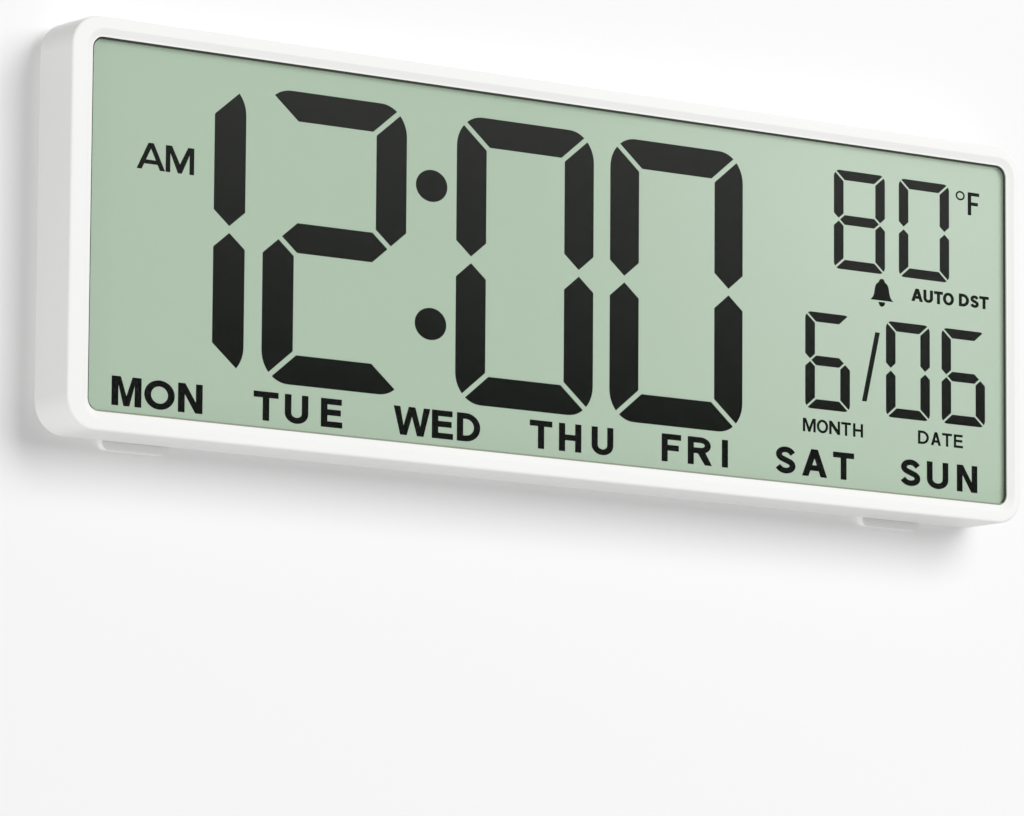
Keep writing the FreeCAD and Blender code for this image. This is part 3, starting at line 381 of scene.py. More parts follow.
@dataclass(frozen=True)
class Laminate(Finish):
    """A solder-masked board with copper lines under the mask."""

    mask: Colour = (0.03, 0.16, 0.07)
    track: Colour = (0.08, 0.30, 0.13)
    pad: Colour = (0.6, 0.55, 0.42)
    fineness: Triple = (300.0, 300.0, 420.0)
    track_from: float = 0.62
    pad_radius: float = 0.16

    def paint(self, tree: Tree) -> Inputs:
        """Add the nodes: wavy bands stand for tracks, and cell middles for pads."""
        where = tree.place(self.fineness)
        waves = {"Vector": where, "Scale": 0.5, "Distortion": 3.0}
        track = tree.node("ShaderNodeTexWave", {}, waves, "Fac").over(self.track_from)
        cells = {"Vector": where, "Scale": 0.7}
        apart = tree.node("ShaderNodeTexVoronoi", {}, cells, "Distance").over(self.pad_radius)
        colour = tree.mix(1.0 - apart, tree.mix(track, self.mask, self.track), self.pad)
        return dict(Base_Color=colour, Roughness=0.35, Normal=tree.bump(track, 0.00002))


@dataclass(frozen=True)
class CellWrap(Finish):
    """A dry cell: a graphite sleeve, a copper band at the plus end and bare steel ends."""

    start: float
    way: int
    sleeve: tuple[Colour, Colour] = ((0.035, 0.037, 0.042), (0.09, 0.09, 0.095))
    band: tuple[Colour, Colour] = ((0.50, 0.24, 0.11), (0.62, 0.33, 0.17))
    steel: Colour = (0.66, 0.65, 0.62)
    sleeve_span: Pair = (0.45, 48.7)
    band_from: float = 34.0
    scuffs: Triple = (60.0, 900.0, 900.0)

    def paint(self, tree: Tree) -> Inputs:
        """Add the nodes: each part is a span of the distance from the minus end."""
        along = (tree.axis("X") - self.start) * float(self.way)
        scuff = tree.noise(tree.place(self.scuffs), 1.0, 3.0)
        sleeve, band = (tree.mix(scuff * 0.5, *pair) for pair in (self.sleeve, self.band))
        wrapped = tree.mix(along.over(self.band_from * MM), sleeve, band)
        past_foot, past_top = (along.over(end * MM) for end in self.sleeve_span)
        bare = (past_top + (1.0 - past_foot)).ramp(0.0, 1.0)
        colour = tree.mix(bare, wrapped, self.steel)
        rough, normal = bare * 0.05 + scuff * 0.1 + 0.22, tree.bump(scuff, 0.000004)
        return dict(Base_Color=colour, Metallic=bare, Roughness=rough, Normal=normal)


# Mesh makers
def linked(name: str, data: bpy.types.ID) -> Piece:
    """A new object with this data, linked to the scene."""
    piece = bpy.data.objects.new(name, data)
    bpy.context.scene.collection.objects.link(piece)
    return piece


def columns(*parts: Array | float) -> Array:
    """Arrays or numbers, brought to one shape and set side by side on a new last axis."""
    return np.stack(np.broadcast_arrays(*parts), axis=-1)


def new_object(name: str, points: Array, faces: Sequence[Array], smooth: bool) -> Piece:
    """Make an object at the origin from points in metres.

    Args:
        name: The piece's name.
        points: An array of points, three numbers each.
        faces: Arrays of point numbers, with one face in each row.
        smooth: Whether the faces are shaded smooth.

    Returns:
        The linked object.
    """
    mesh = bpy.data.meshes.new(name)
    rows = sum((part.tolist() for part in faces), [])
    mesh.from_pydata(points.reshape(-1, 3).tolist(), [], rows)
    mesh.polygons.foreach_set("use_smooth", np.full(len(mesh.polygons), smooth))
    mesh.update()
    return linked(name, mesh)


def skin_faces(rings: int, sides: int, copies: int = 1) -> list[Array]:
    """Faces of closed rings joined one to the next, with both ends capped.

    Args:
        rings: How many rings there are.
        sides: How many points each has.
        copies: How many such skins follow each other.

    Returns:
        Quads between rings, and then the faces at both ends.
    """
    row, side = np.meshgrid(np.arange(rings - 1) * sides, np.arange(sides), indexing="ij")
    after = (side + 1) % sides
    quads = columns(row + side, row + after, row + sides + after, row + sides + side)
    quads = quads.reshape(-1, 4)
    first = np.arange(sides)[::-1]
    ends = np.stack([first, (rings - 1) * sides + first[::-1]])
    shift = np.arange(copies)[:, None, None] * rings * sides
    return [(part + shift).reshape(-1, part.shape[1]) for part in (quads, ends)]


def turned(profile: Array, sides: int) -> Array:
    """Turn rows of distance and radius r to rings of distance, r cos(angle), r sin(angle)."""
    angle = np.arange(sides) * TURN / sides
    radius = profile[:, 1:]
    return columns(profile[:, :1], radius * np.cos(angle), radius * np.sin(angle))


class Facing(Enum):
    """Which way a flat sign is read, as the signs of its X and depth."""

    FRONT = (1.0, -1.0)
    BACK = (-1.0, 1.0)


def sign_plate(name: str, loops: Loops, level: float, thickness: float, facing: Facing) -> Piece:
    """Make a thin plate whose outline is a set of closed loops.

    Loops inside others are holes. The flat curve becomes a mesh first, and then
    each point (x, y, z) goes to (x, level - z, y), or for the back to
    (-x, level + z, y).

    Args:
        name: The piece's name.
        loops: Closed outlines in metres, already in place on the front or back plane.
        level: The Y of the plate's middle, in metres.
        thickness: The plate's thickness in metres.
        facing: The side that it is read from.

    Returns:
        The linked object.
    """
    curve = bpy.data.curves.new(name, "CURVE")
    curve.dimensions = "2D"
    curve.fill_mode = "BOTH"
    curve.extrude = thickness / 2.0
    for loop in loops:
        spline = curve.splines.new("POLY")
        spline.points.add(len(loop) - 1)
        filled = columns(loop[:, 0], loop[:, 1], 0.0, 1.0)
        spline.points.foreach_set("co", filled.astype(np.float32).ravel())
        spline.use_cyclic_u = True
    holder = bpy.data.objects.new(name, curve)
    mesh = bpy.data.meshes.new_from_object(holder)
    mesh.name = name
    flat = np.empty(len(mesh.vertices) * 3, np.float32)
    mesh.vertices.foreach_get("co", flat)
    x, y, z = flat.reshape(-1, 3).T
    across, depth = facing.value
    placed = columns(x * across, level + z * depth, y)
    mesh.vertices.foreach_set("co", placed.astype(np.float32).ravel())
    mesh.update()
    bpy.data.objects.remove(holder)
    bpy.data.curves.remove(curve)
    return linked(name, mesh)


def arc(
    x: float, z: float, across: float, up: float, start: float, end: float, count: int = 20
) -> Array:
    """Points on an oval's edge.

    Args:
        x: The middle's X.
        z: The middle's Z.
        across: The radius along X.
        up: The radius along Z.
        start: The first angle in degrees.
        end: The last angle in degrees.
        count: How many points there are.

    Returns:
        Rows of X and Z.
    """
    angle = np.radians(np.linspace(start, end, count))
    return columns(x + across * np.cos(angle), z + up * np.sin(angle))


def path(*parts: Sequence[float] | Array) -> Array:
    """One loop from single points and runs of points."""
    return np.concatenate([np.atleast_2d(np.asarray(part, float)) for part in parts])


def eased(line: Array, count: int = 64, reach: int = 4) -> Array:
    """A line at even steps, with its kinks rounded.

    Each new point is the mean of the points up to reach steps away. Past an end
    the line is carried on by turning it half round that end, which then stays.

    Args:
        line: Rows of X and Z.
        count: How many points the new line has.
        reach: How many neighbours on each side are averaged.

    Returns:
        Rows of X and Z.
    """
    run = np.concatenate([[0.0], np.cumsum(np.linalg.norm(np.diff(line, axis=0), axis=1))])
    even = np.linspace(0.0, run[-1], count)
    points = columns(*(np.interp(even, run, part) for part in line.T))
    before = 2.0 * points[0] - points[reach:0:-1]
    after = 2.0 * points[-1] - points[-2:-reach - 2:-1]
    longer = np.concatenate([before, points, after])
    weights = np.full(2 * reach + 1, 1.0 / (2 * reach + 1))
    return columns(*(np.convolve(part, weights, "valid") for part in longer.T))


def pen_stroke(line: Array, across: float, up: float) -> Array:
    """The outline of a line drawn with an oval pen.

    Each point moves out both ways along the line's normal, scaled by half the
    pen's width along X and half its height along Z.

    Args:
        line: Rows of X and Z along the middle.
        across: The pen's width.
        up: The pen's height.

    Returns:
        One closed loop.
    """
    pen = np.array([across, up])
    run = np.gradient(line, axis=0) / pen
    run /= np.linalg.norm(run, axis=1, keepdims=True)
    out = columns(-run[:, 1], run[:, 0]) * pen / 2.0
    return np.concatenate([line + out, (line - out)[::-1]])


# Lettering
@dataclass(frozen=True)
class Capital:
    """A plain sans-serif capital in a box, drawn with upright stems and flat bars.

    All coordinates start at the box's lower left corner.
    """

    width: float
    height: float
    stem: float
    bar: float

    def loops(self, letter: str) -> Loops:
        """The closed loops of one letter."""
        return getattr(self, f"draw_{letter.lower()}")()

    def draw_i(self) -> Loops:
        """An upright stem."""
        return [path((0, 0), (self.width, 0), (self.width, self.height), (0, self.height))]

    def draw_t(self) -> Loops:
        """A bar on a middle stem."""
        w, h, t, b = astuple(self)
        left, right = (w - t) / 2, (w + t) / 2
        stem = [(left, h - b), (left, 0), (right, 0), (right, h - b)]
        return [path((0, h), (0, h - b), *stem, (w, h - b), (w, h))]

    def draw_h(self) -> Loops:
        """Two stems joined by a bar."""
        w, h, t, b = astuple(self)
        low, high = (h - b) / 2, (h + b) / 2
        left = [(0, 0), (t, 0), (t, low), (w - t, low), (w - t, 0), (w, 0)]
        return [path(*left, (w, h), (w - t, h), (w - t, high), (t, high), (t, h), (0, h))]

    def draw_e(self) -> Loops:
        """A stem with three bars."""
        w, h, t, b = astuple(self)
        low, high = 0.52 * h - b / 2, 0.52 * h + b / 2
        first = [(0, 0), (w, 0), (w, b), (t, b), (t, low), (0.93 * w, low), (0.93 * w, high)]
        return [path(*first, (t, high), (t, h - b), (0.97 * w, h - b), (0.97 * w, h), (0, h))]

    def draw_f(self) -> Loops:
        """A stem with two bars."""
        w, h, t, b = astuple(self)
        low, high = 0.5 * h - b / 2, 0.5 * h + b / 2
        first = [(0, 0), (t, 0), (t, low), (0.88 * w, low), (0.88 * w, high), (t, high)]
        return [path(*first, (t, h - b), (w, h - b), (w, h), (0, h))]

    def draw_u(self) -> Loops:
        """Two stems joined by a round foot."""
        w, h, t, b = astuple(self)
        rise = 0.36 * h
        outer = arc(w / 2, rise, w / 2, rise, 180, 360)
        inner = arc(w / 2, rise, w / 2 - t, rise - b, 360, 180)
        return [path((0, h), outer, (w, h), (w - t, h), inner, (t, h))]

    def draw_o(self) -> Loops:
        """A ring of two ovals."""
        w, h, t, b = astuple(self)
        sizes = (w / 2, h / 2), (w / 2 - t, h / 2 - b)
        return [arc(w / 2, h / 2, *size, 0, 352.5, 48) for size in sizes]

    def draw_d(self) -> Loops:
        """A stem with a full bowl."""
        w, h, t, b = astuple(self)
        bowl = 0.62 * w
        outer = arc(w - bowl, h / 2, bowl, h / 2, -90, 90)
        inner = arc(w - bowl, h / 2, bowl - t, h / 2 - b, -90, 90)
        return [path((0, 0), outer, (0, h)), path((t, b), inner, (t, h - b))]

    def draw_r(self) -> Loops:
        """A stem with an upper bowl and a slanting leg."""
        w, h, t, b = astuple(self)
        bowl, low = 0.42 * w, 0.41 * h
        outer = arc(0.95 * w - bowl, (low + h) / 2, bowl, (h - low) / 2, -62, 90)
        inner = arc(0.95 * w - bowl, (low + h) / 2, bowl - t, (h - low) / 2 - b, -90, 90)
        foot = [(0, 0), (t, 0), (t, low), (0.42 * w, low), (w - 1.18 * t, 0), (w, 0)]
        return [path(*foot, outer, (0, h)), path((t, low + b), inner, (t, h - b))]

    def draw_a(self) -> Loops:
        """Two slanting legs with a bar between them."""
        w, h, t, b = astuple(self)
        top, leg, low = 1.15 * t, 1.1 * t, 0.21 * h
        lean = (w - top) / 2 / h
        high, peak = low + b, (w / 2 - leg) / lean
        outer = path(
            (0, 0), ((w - top) / 2, h), ((w + top) / 2, h), (w, 0), (w - leg, 0),
            (w - leg - lean * low, low), (leg + lean * low, low), (leg, 0),
        )
        left = leg + lean * high
        return [outer, path((left, high), (w - left, high), (w / 2, peak))]

    def draw_m(self) -> Loops:
        """Two stems with a deep notch between them."""
        w, h, t, _ = astuple(self)
        top, foot, notch, inner = 1.35 * t, 0.42 * t, 0.33 * h, 0.74 * h
        left = [(0, 0), (0, h), (top, h), (w / 2, notch), (w - top, h), (w, h), (w, 0)]
        right = [(w - t, 0), (w - t, inner), (w / 2 + foot, 0), (w / 2 - foot, 0)]
        return [path(*left, *right, (t, inner), (t, 0))]

    def draw_n(self) -> Loops:
        """Two stems with a slanting stroke between them."""
        w, h, t, _ = astuple(self)
        top, drop = 1.08 * t, 0.36 * h
        first = [(0, 0), (0, h), (top, h), (w - t, drop), (w - t, h), (w, h), (w, 0)]
        return [path(*first, (w - top, 0), (t, h - drop), (t, 0))]

    def draw_w(self) -> Loops:
        """Four slanting strokes with a full-height middle."""
        w, h, leg = self.width, self.height, 1.02 * self.stem
        left, middle, right = 0.27 * w, w / 2, 0.73 * w
        half, inner = leg / 2, 0.32 * h
        first = [(0, h), (left - half, 0), (left + half, 0), (middle, 0.68 * h)]
        second = [(right - half, 0), (right + half, 0), (w, h), (w - leg, h), (right, inner)]
        tops = [(middle + half, h), (middle - half, h), (left, inner), (leg, h)]
        return [path(*first, *second, *tops)]

    def draw_s(self) -> Loops:
        """Two bowls that turn opposite ways, with a slanting spine."""
        w, h, t, b = astuple(self)
        across, up = (w - t) / 2, (h - b) / 4
        high, low = h - b / 2 - up, b / 2 + up
        upper = arc(w / 2, high, 0.95 * across, up, 12, 215, 28)
        lower = arc(w / 2, low, across, up, 35, -168, 28)
        spine = np.linspace(0, 1, 12)[1:-1]
        ease = spine * spine * (3 - 2 * spine)
        share = columns(spine, 0.35 * ease + 0.65 * spine)
        middle = upper[-1] + (lower[0] - upper[-1]) * share
        return [pen_stroke(eased(path(upper, middle, lower)), t, b)]


@dataclass(frozen=True)
class Word:
    """A word on the display, with the span of each of its letters."""

    text: str
    foot: float
    height: float
    stem: float
    bar: float
    spans: tuple[float, ...]

    def loops(self) -> Loops:
        """The loops of all its letters, in millimetres from the case's middle."""
        found = []
        for letter, left, right in zip(self.text, self.spans[::2], self.spans[1::2]):
            capital = Capital(right - left, self.height, self.stem, self.bar)
            found += [loop + np.array([left, self.foot]) for loop in capital.loops(letter)]
        return found


DAY = (9.9, 2.65, 2.05)
AUTO_DST = (4.7, 1.35, 1.06)
CAPTION = (4.9, 1.02, 0.88)
WORDS = (
    Word("MON", -60.3, *DAY, (-189.6, -177.7, -176.5, -164.3, -162.9, -153.0)),
    Word("TUE", -60.2, *DAY, (-132.1, -121.9, -119.2, -109.5, -104.2, -95.3)),
    Word("WED", -60.1, *DAY, (-73.6, -58.1, -57.3, -48.3, -46.6, -36.6)),
    Word("THU", -59.9, *DAY, (-15.0, -5.2, -2.2, 7.6, 12.2, 21.8)),
    Word("FRI", -59.7, *DAY, (43.5, 52.2, 55.3, 66.2, 70.8, 73.5)),
    Word("SAT", -59.6, *DAY, (95.1, 105.0, 107.7, 119.3, 122.2, 132.0)),
    Word("SUN", -59.4, *DAY, (153.7, 163.8, 166.6, 176.8, 181.0, 190.8)),
    Word("AM", 20.7, 9.1, 1.8, 1.4, (-180.9, -169.5, -169.2, -157.7)),
    Word("F", 43.7, 8.5, 1.6, 1.25, (186.6, 192.1)),
    Word("AUTO", 9.0, *AUTO_DST, (159.3, 164.8, 165.1, 169.6, 170.2, 174.4, 174.5, 179.7)),
    Word("DST", 9.3, *AUTO_DST, (182.2, 187.0, 187.6, 191.9, 192.1, 196.6)),
    Word(
        "MONTH", -43.5, *CAPTION,
        (108.1, 114.0, 114.6, 119.8, 120.4, 125.4, 126.0, 130.5, 131.6, 136.2),
    ),
    Word("DATE", -43.4, *CAPTION, (162.4, 167.5, 168.6, 173.3, 174.0, 178.6, 179.6, 183.9)),
)


def bell_loops(x: float, foot: float, height: float, reach: float) -> Loops:
    """A bell with a knob on top and a round clapper below its rim.

    With s from 0 at the rim to 1 at the top, the half width is the larger of
    reach * (0.4 exp(-s / 0.16) + 0.6 sqrt(1 - (s / 0.86) ** 6)), a flared dome,
    and of the knob, a circle whose top is at 1.

    Args:
        x: The middle's X.
        foot: The Z of the clapper's lowest point.
        height: The whole height.
        reach: Half the rim's width.

    Returns:
        The loops of the bell and of its clapper.
    """
    rim, ball, drop = foot + 0.22 * height, 0.25 * reach, 0.165 * height
    tall = foot + height - rim
    s = np.linspace(0.0, 1.0, 90)
    dome = 0.4 * np.exp(-s / 0.16) + 0.6 * np.sqrt(np.maximum(0.0, 1.0 - (s / 0.86) ** 6))
    knob = np.sqrt(np.maximum(0.0, ball**2 - ((s - 1.0) * tall + ball) ** 2))
    half = np.maximum(reach * dome, knob)
    right = columns(x + half, rim + s * tall)
    left = columns(x - half, rim + s * tall)[::-1]
    clapper = arc(x, foot + drop, 0.27 * reach, drop, 180, 360, 16)
    return [np.concatenate([right[:-1], left]), clapper]


# Sub-assemblies
def let_light_by(piece: Piece) -> None:
    """Keep a piece from shading what lies right behind it."""
    piece.visible_diffuse = False
    piece.visible_shadow = False


def dress(piece: Piece, material: Material, body: str) -> Piece:
    """Give a new piece its looks and the body that it rides on.

    Args:
        piece: The object.
        material: Its material.
        body: The CAD body's name.

    Returns:
        The same object.
    """
    piece.data.materials.clear()
    piece.data.materials.append(material)
    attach(piece, body)
    LOG.info("%s rides on %s with %d points", piece.name, body, len(piece.data.vertices))
    return piece


@dataclass(frozen=True)
class Case:
    """Where the case stands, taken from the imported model."""

    rise: float
    foot: float
    sign_level: float
    sign_thickness: float

    @classmethod
    def measured(cls) -> Case:
        """Read the housing's middle, the gasket's foot and the layer of the display's bars.

        The signs are SIGN_SHARE as thick as the layer, to stay clear of the glasses.
        """
        rise = float(np.mean(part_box("front_housing"), axis=0)[2])
        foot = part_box("window_gasket")[0].z
        front, back = (corner.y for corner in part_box("lcd_time_bars"))
        return cls(rise, foot, (front + back) / 2.0, (back - front) * SIGN_SHARE)

    def place(self, loops: Loops) -> Loops:
        """Loops in millimetres from the case's middle, as metres in the model's frame."""
        return [loop * MM + np.array([0.0, self.rise]) for loop in loops]


@dataclass(frozen=True)
class Legends:
    """The fixed words and signs of the display, in the same layer as its bars."""

    case: Case
    ink: Finish
    bell: tuple[float, float, float, float] = (145.2, 5.4, 10.3, 5.5)
    degree: tuple[float, float, float, float] = (182.9, 50.5, 2.15, 1.75)
    degree_line: float = 0.62

    def build(self) -> None:
        """Make the words, the bell and the degree ring."""
        ink = self.ink.build()
        for word in WORDS:
            self.plate(f"legend_{word.text.lower()}", word.loops(), ink)
        self.plate("legend_bell", bell_loops(*self.bell), ink)
        x, z, across, up = self.degree
        lines = (0.0, self.degree_line)
        ring = [arc(x, z, across - line, up - line, 0, 350, 36) for line in lines]
        self.plate("legend_degree", ring, ink)

    def plate(self, name: str, loops: Loops, ink: Material) -> None:
        """Make one legend from loops in millimetres from the case's middle."""
        case = self.case
        placed = case.place(loops)
        piece = sign_plate(name, placed, case.sign_level, case.sign_thickness, Facing.FRONT)
        let_light_by(dress(piece, ink, "case"))


@dataclass(frozen=True)
class KeySigns:
    """Raised signs on the five keys at the back, read from behind."""

    finish: Finish
    half: float = 1.7
    pitch: float = 1.2
    line: float = 0.5
    lift: float = 0.34
    thickness: float = 0.22

    def build(self) -> None:
        """Make one sign on the cap of each key."""
        ink = self.finish.build()
        signs = {
            "mode": self.bars(),
            "up": self.triangle(1.0),
            "down": self.triangle(-1.0),
            "alarm": bell_loops(0.0, -1.9, 3.8, 1.8),
            "units": self.degree_f(),
        }
        for name, loops in signs.items():
            x, _, z = np.mean(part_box(f"{name}_button"), axis=0)
            placed = [loop * MM + (-x, z) for loop in loops]
            level, thickness = -self.lift * MM, self.thickness * MM
            piece = sign_plate(f"{name}_sign", placed, level, thickness, Facing.BACK)
            dress(piece, ink, f"{name}_button")

    def bars(self) -> Loops:
        """Three lines, one above the other."""
        across, up = self.half, self.line / 2
        corners = path((-across, -up), (across, -up), (across, up), (-across, up))
        return [corners + (0.0, z) for z in (-self.pitch, 0.0, self.pitch)]

    def triangle(self, way: float) -> Loops:
        """A triangle that points up, or down for a negative way."""
        foot = -self.pitch * way
        return [path((-self.half, foot), (self.half, foot), (0.0, 1.5 * way))]

    def degree_f(self) -> Loops:
        """A small ring and a capital F."""
        ring = [arc(-1.3, 1.3, radius, radius, 0, 345, 24) for radius in (0.6, 0.3)]
        letter = Capital(1.9, 3.3, 0.5, 0.45).loops("F")[0] + np.array([-0.2, -1.5])
        return [*ring, letter]


@dataclass(frozen=True)
class CoverScrews:
    """Six pan-head screws with cross recesses and threads, in place of plain ones."""

    case: Case
    finish: Finish
    across: float = 200.9
    up: float = 61.4
    head_lift: float = 4.6
    head_height: float = 1.6
    head_radius: float = 2.6
    shank_radius: float = 1.25
    shank_length: float = 9.0
    thread_pitch: float = 1.0
    thread_depth: float = 0.18
    recess_depth: float = 1.0
    recess_reach: float = 1.45
    recess_width: float = 0.36
    sides: int = 56
    dome_rings: int = 22
    thread_rings: int = 72

    def build(self) -> None:
        """Make one piece of all six."""
        one = self.screw()
        places = [(side * self.across, end * self.up) for side in (-1, 0, 1) for end in (-1, 1)]
        points = np.stack([self.put(one, x, z) for x, z in places])
        faces = skin_faces(len(one), self.sides, len(places))
        piece = new_object("screws_with_recess", points, faces, smooth=False)
        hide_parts("cover_screws")
        dress(piece, self.finish.build(), "case")

    def put(self, one: Array, x: float, z: float) -> Array:
        """Move a screw's points from (along, across, up) to the model's frame."""
        along, across, up = np.moveaxis(one, -1, 0)
        lift = self.head_lift + along
        return columns((across + x) * MM, -lift * MM, (up + z) * MM + self.case.rise)

    def screw(self) -> Array:
        """Rings of one screw, from the middle of its head to its point.

        The head is a shallow dome, and the recess sinks it where a point lies near
        either arm of a cross. The shank's radius has a ridge that climbs one pitch
        a turn.

        Returns:
            An array of rings by sides by three.
        """
        radius, height, shank = self.head_radius, self.head_height, self.shank_radius
        top = np.linspace(0.02, 0.86, self.dome_rings) * radius
        dome = 0.25 * height * (top / radius) ** 2
        edge = np.radians(np.linspace(15, 90, 6))
        corner = 0.14 * radius
        fall, inset = corner * (1 - np.cos(edge)), corner * (1 - np.sin(edge))
        rim = columns(0.185 * height + fall, radius - inset)
        under = np.array([[height, radius], [height, shank]])
        thread = np.linspace(0.05, 0.88, self.thread_rings) * self.shank_length + height
        taper = np.linspace(0.9, 1.0, 6) * self.shank_length + height
        tip = shank * (0.82 - 0.75 * np.linspace(0, 1, 6) ** 1.5)
        head = np.concatenate([columns(dome, top), rim, under])
        profile = np.concatenate([head, columns(thread, shank), columns(taper, tip)])
        points = turned(profile, self.sides)
        self.sink_recess(points[:self.dome_rings])
        self.cut_thread(points[len(head):len(head) + self.thread_rings])
        return points

    def sink_recess(self, head: Array) -> None:
        """Press a cross into the rings: full depth on its arms, and none past them."""
        across, up = np.abs(head[..., 1]), np.abs(head[..., 2])
        arm, reach = np.minimum(across, up), np.maximum(across, up)
        within = np.clip((self.recess_width + 0.12 - arm) / 0.16, 0, 1)
        along = np.clip((self.recess_reach - reach) / 0.3, 0, 1)
        head[..., 0] += self.recess_depth * (within * along)

    def cut_thread(self, shank: Array) -> None:
        """Scale the rings by a ridge that is a triangle wave of height less angle."""
        turn = np.arange(self.sides) / self.sides
        phase = np.mod(shank[..., 0] / self.thread_pitch - turn, 1.0)
        ridge = 1.0 - np.abs(2.0 * phase - 1.0)
        shank[..., 1:] *= (1.0 - self.thread_depth * (1.0 - ridge))[..., None]


def cell_bases() -> list[tuple[int, int, Array]]:
    """Each dry cell's number, its way along X and the middle of its minus end."""
    found = []
    for number, way in enumerate((1, -1, -1, 1), start=1):
        corners = np.array(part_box(f"aa_cell_{number}"))
        base = corners.mean(axis=0)
        base[0] = corners[0 if way > 0 else 1, 0]
        found.append((number, way, base))
    return found


def by_cell(points: Array, way: int, base: Array) -> Array:
    """Points in millimetres along, across and up from a cell's base, in the model's frame."""
    return points * np.array([way, 1, way]) * MM + base


@dataclass(frozen=True)
class DryCells:
    """Four AA cells with crimped sleeves, in place of plain cylinders."""

    radius: float = 7.25
    length: float = 49.2
    nub_radius: float = 2.75
    nub_length: float = 1.3
    sides: int = 64

    def build(self) -> None:
        """Make each cell where its solid is."""
        rings = turned(self.profile(), self.sides)
        faces = skin_faces(len(rings), self.sides)
        for number, way, base in cell_bases():
            points = by_cell(rings, way, base)
            piece = new_object(f"cell_{number}", points, faces, smooth=False)
            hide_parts(f"aa_cell_{number}")
            wrap = CellWrap(f"cell_wrap_{number}", base[0], way)
            dress(piece, wrap.build(), "case")

    def profile(self) -> Array:
        """Distance from the minus end and radius: base, crimp, sleeve, shoulder and nub."""
        r, end, nub, top = self.radius, self.length, self.nub_radius, self.length + self.nub_length
        crimp, corner, lip = np.radians(np.linspace(0, 90, 5)), 0.5, 0.4
        cosine, sine = np.cos(crimp), np.sin(crimp)
        low = columns(corner - 0.45 * cosine, r - corner + corner * sine)
        high = columns(end - corner + 0.45 * sine, r - corner + corner * cosine)
        cap = columns(top - lip + lip * sine, nub - lip + lip * cosine)
        base = [(0.0, 0.05), (0.0, 4.9), (0.35, 5.2), (0.35, 6.3), (0.05, 6.5)]
        shoulder = [(end - 0.3, 6.3), (end - 0.35, 3.4), (end - 0.05, nub + 0.15), (end, nub)]
        return np.concatenate([base, low, high, shoulder, cap, [(top, 0.05)]])


@dataclass(frozen=True)
class BatterySprings:
    """Tapered wire coils between the contact plates and the cells' bases."""

    finish: Finish
    length: float = 5.5
    wide: float = 3.0
    narrow: float = 1.9
    wire: float = 0.38
    play: float = 0.02
    turns: float = 4.5
    steps: int = 150
    sides: int = 10

    def build(self) -> None:
        """Make one piece of the four coils."""
        coil = self.coil()
        coils = np.stack([by_cell(coil, way, base) for _, way, base in cell_bases()])
        faces = skin_faces(self.steps, self.sides, len(coils))
        piece = new_object("battery_coils", coils, faces, smooth=True)
        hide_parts("battery_springs")
        dress(piece, self.finish.build(), "case")

    def coil(self) -> Array:
        """One coil, from the plate to the cell's base.

        The middle of the wire goes round while it moves along, and its radius falls
        evenly from wide to narrow. Its section is a circle across the run.

        Returns:
            An array of steps by sides by three: along, across and up from the base.
        """
        u = np.linspace(0.0, 1.0, self.steps)
        angle = u * self.turns * TURN
        radius = self.wide + (self.narrow - self.wide) * u
        clear = self.wire + self.play
        along = clear - self.length + (self.length - 2 * clear) * u
        outward = columns(0.0, np.cos(angle), np.sin(angle))
        centre = outward * radius[:, None] + columns(along, 0.0, 0.0)
        run = np.gradient(centre, axis=0)
        run /= np.linalg.norm(run, axis=1, keepdims=True)
        side = np.cross(run, outward)
        turn = (np.arange(self.sides) * TURN / self.sides)[:, None]
        section = outward[:, None] * np.cos(turn) + side[:, None] * np.sin(turn)
        return centre[:, None] + self.wire * section


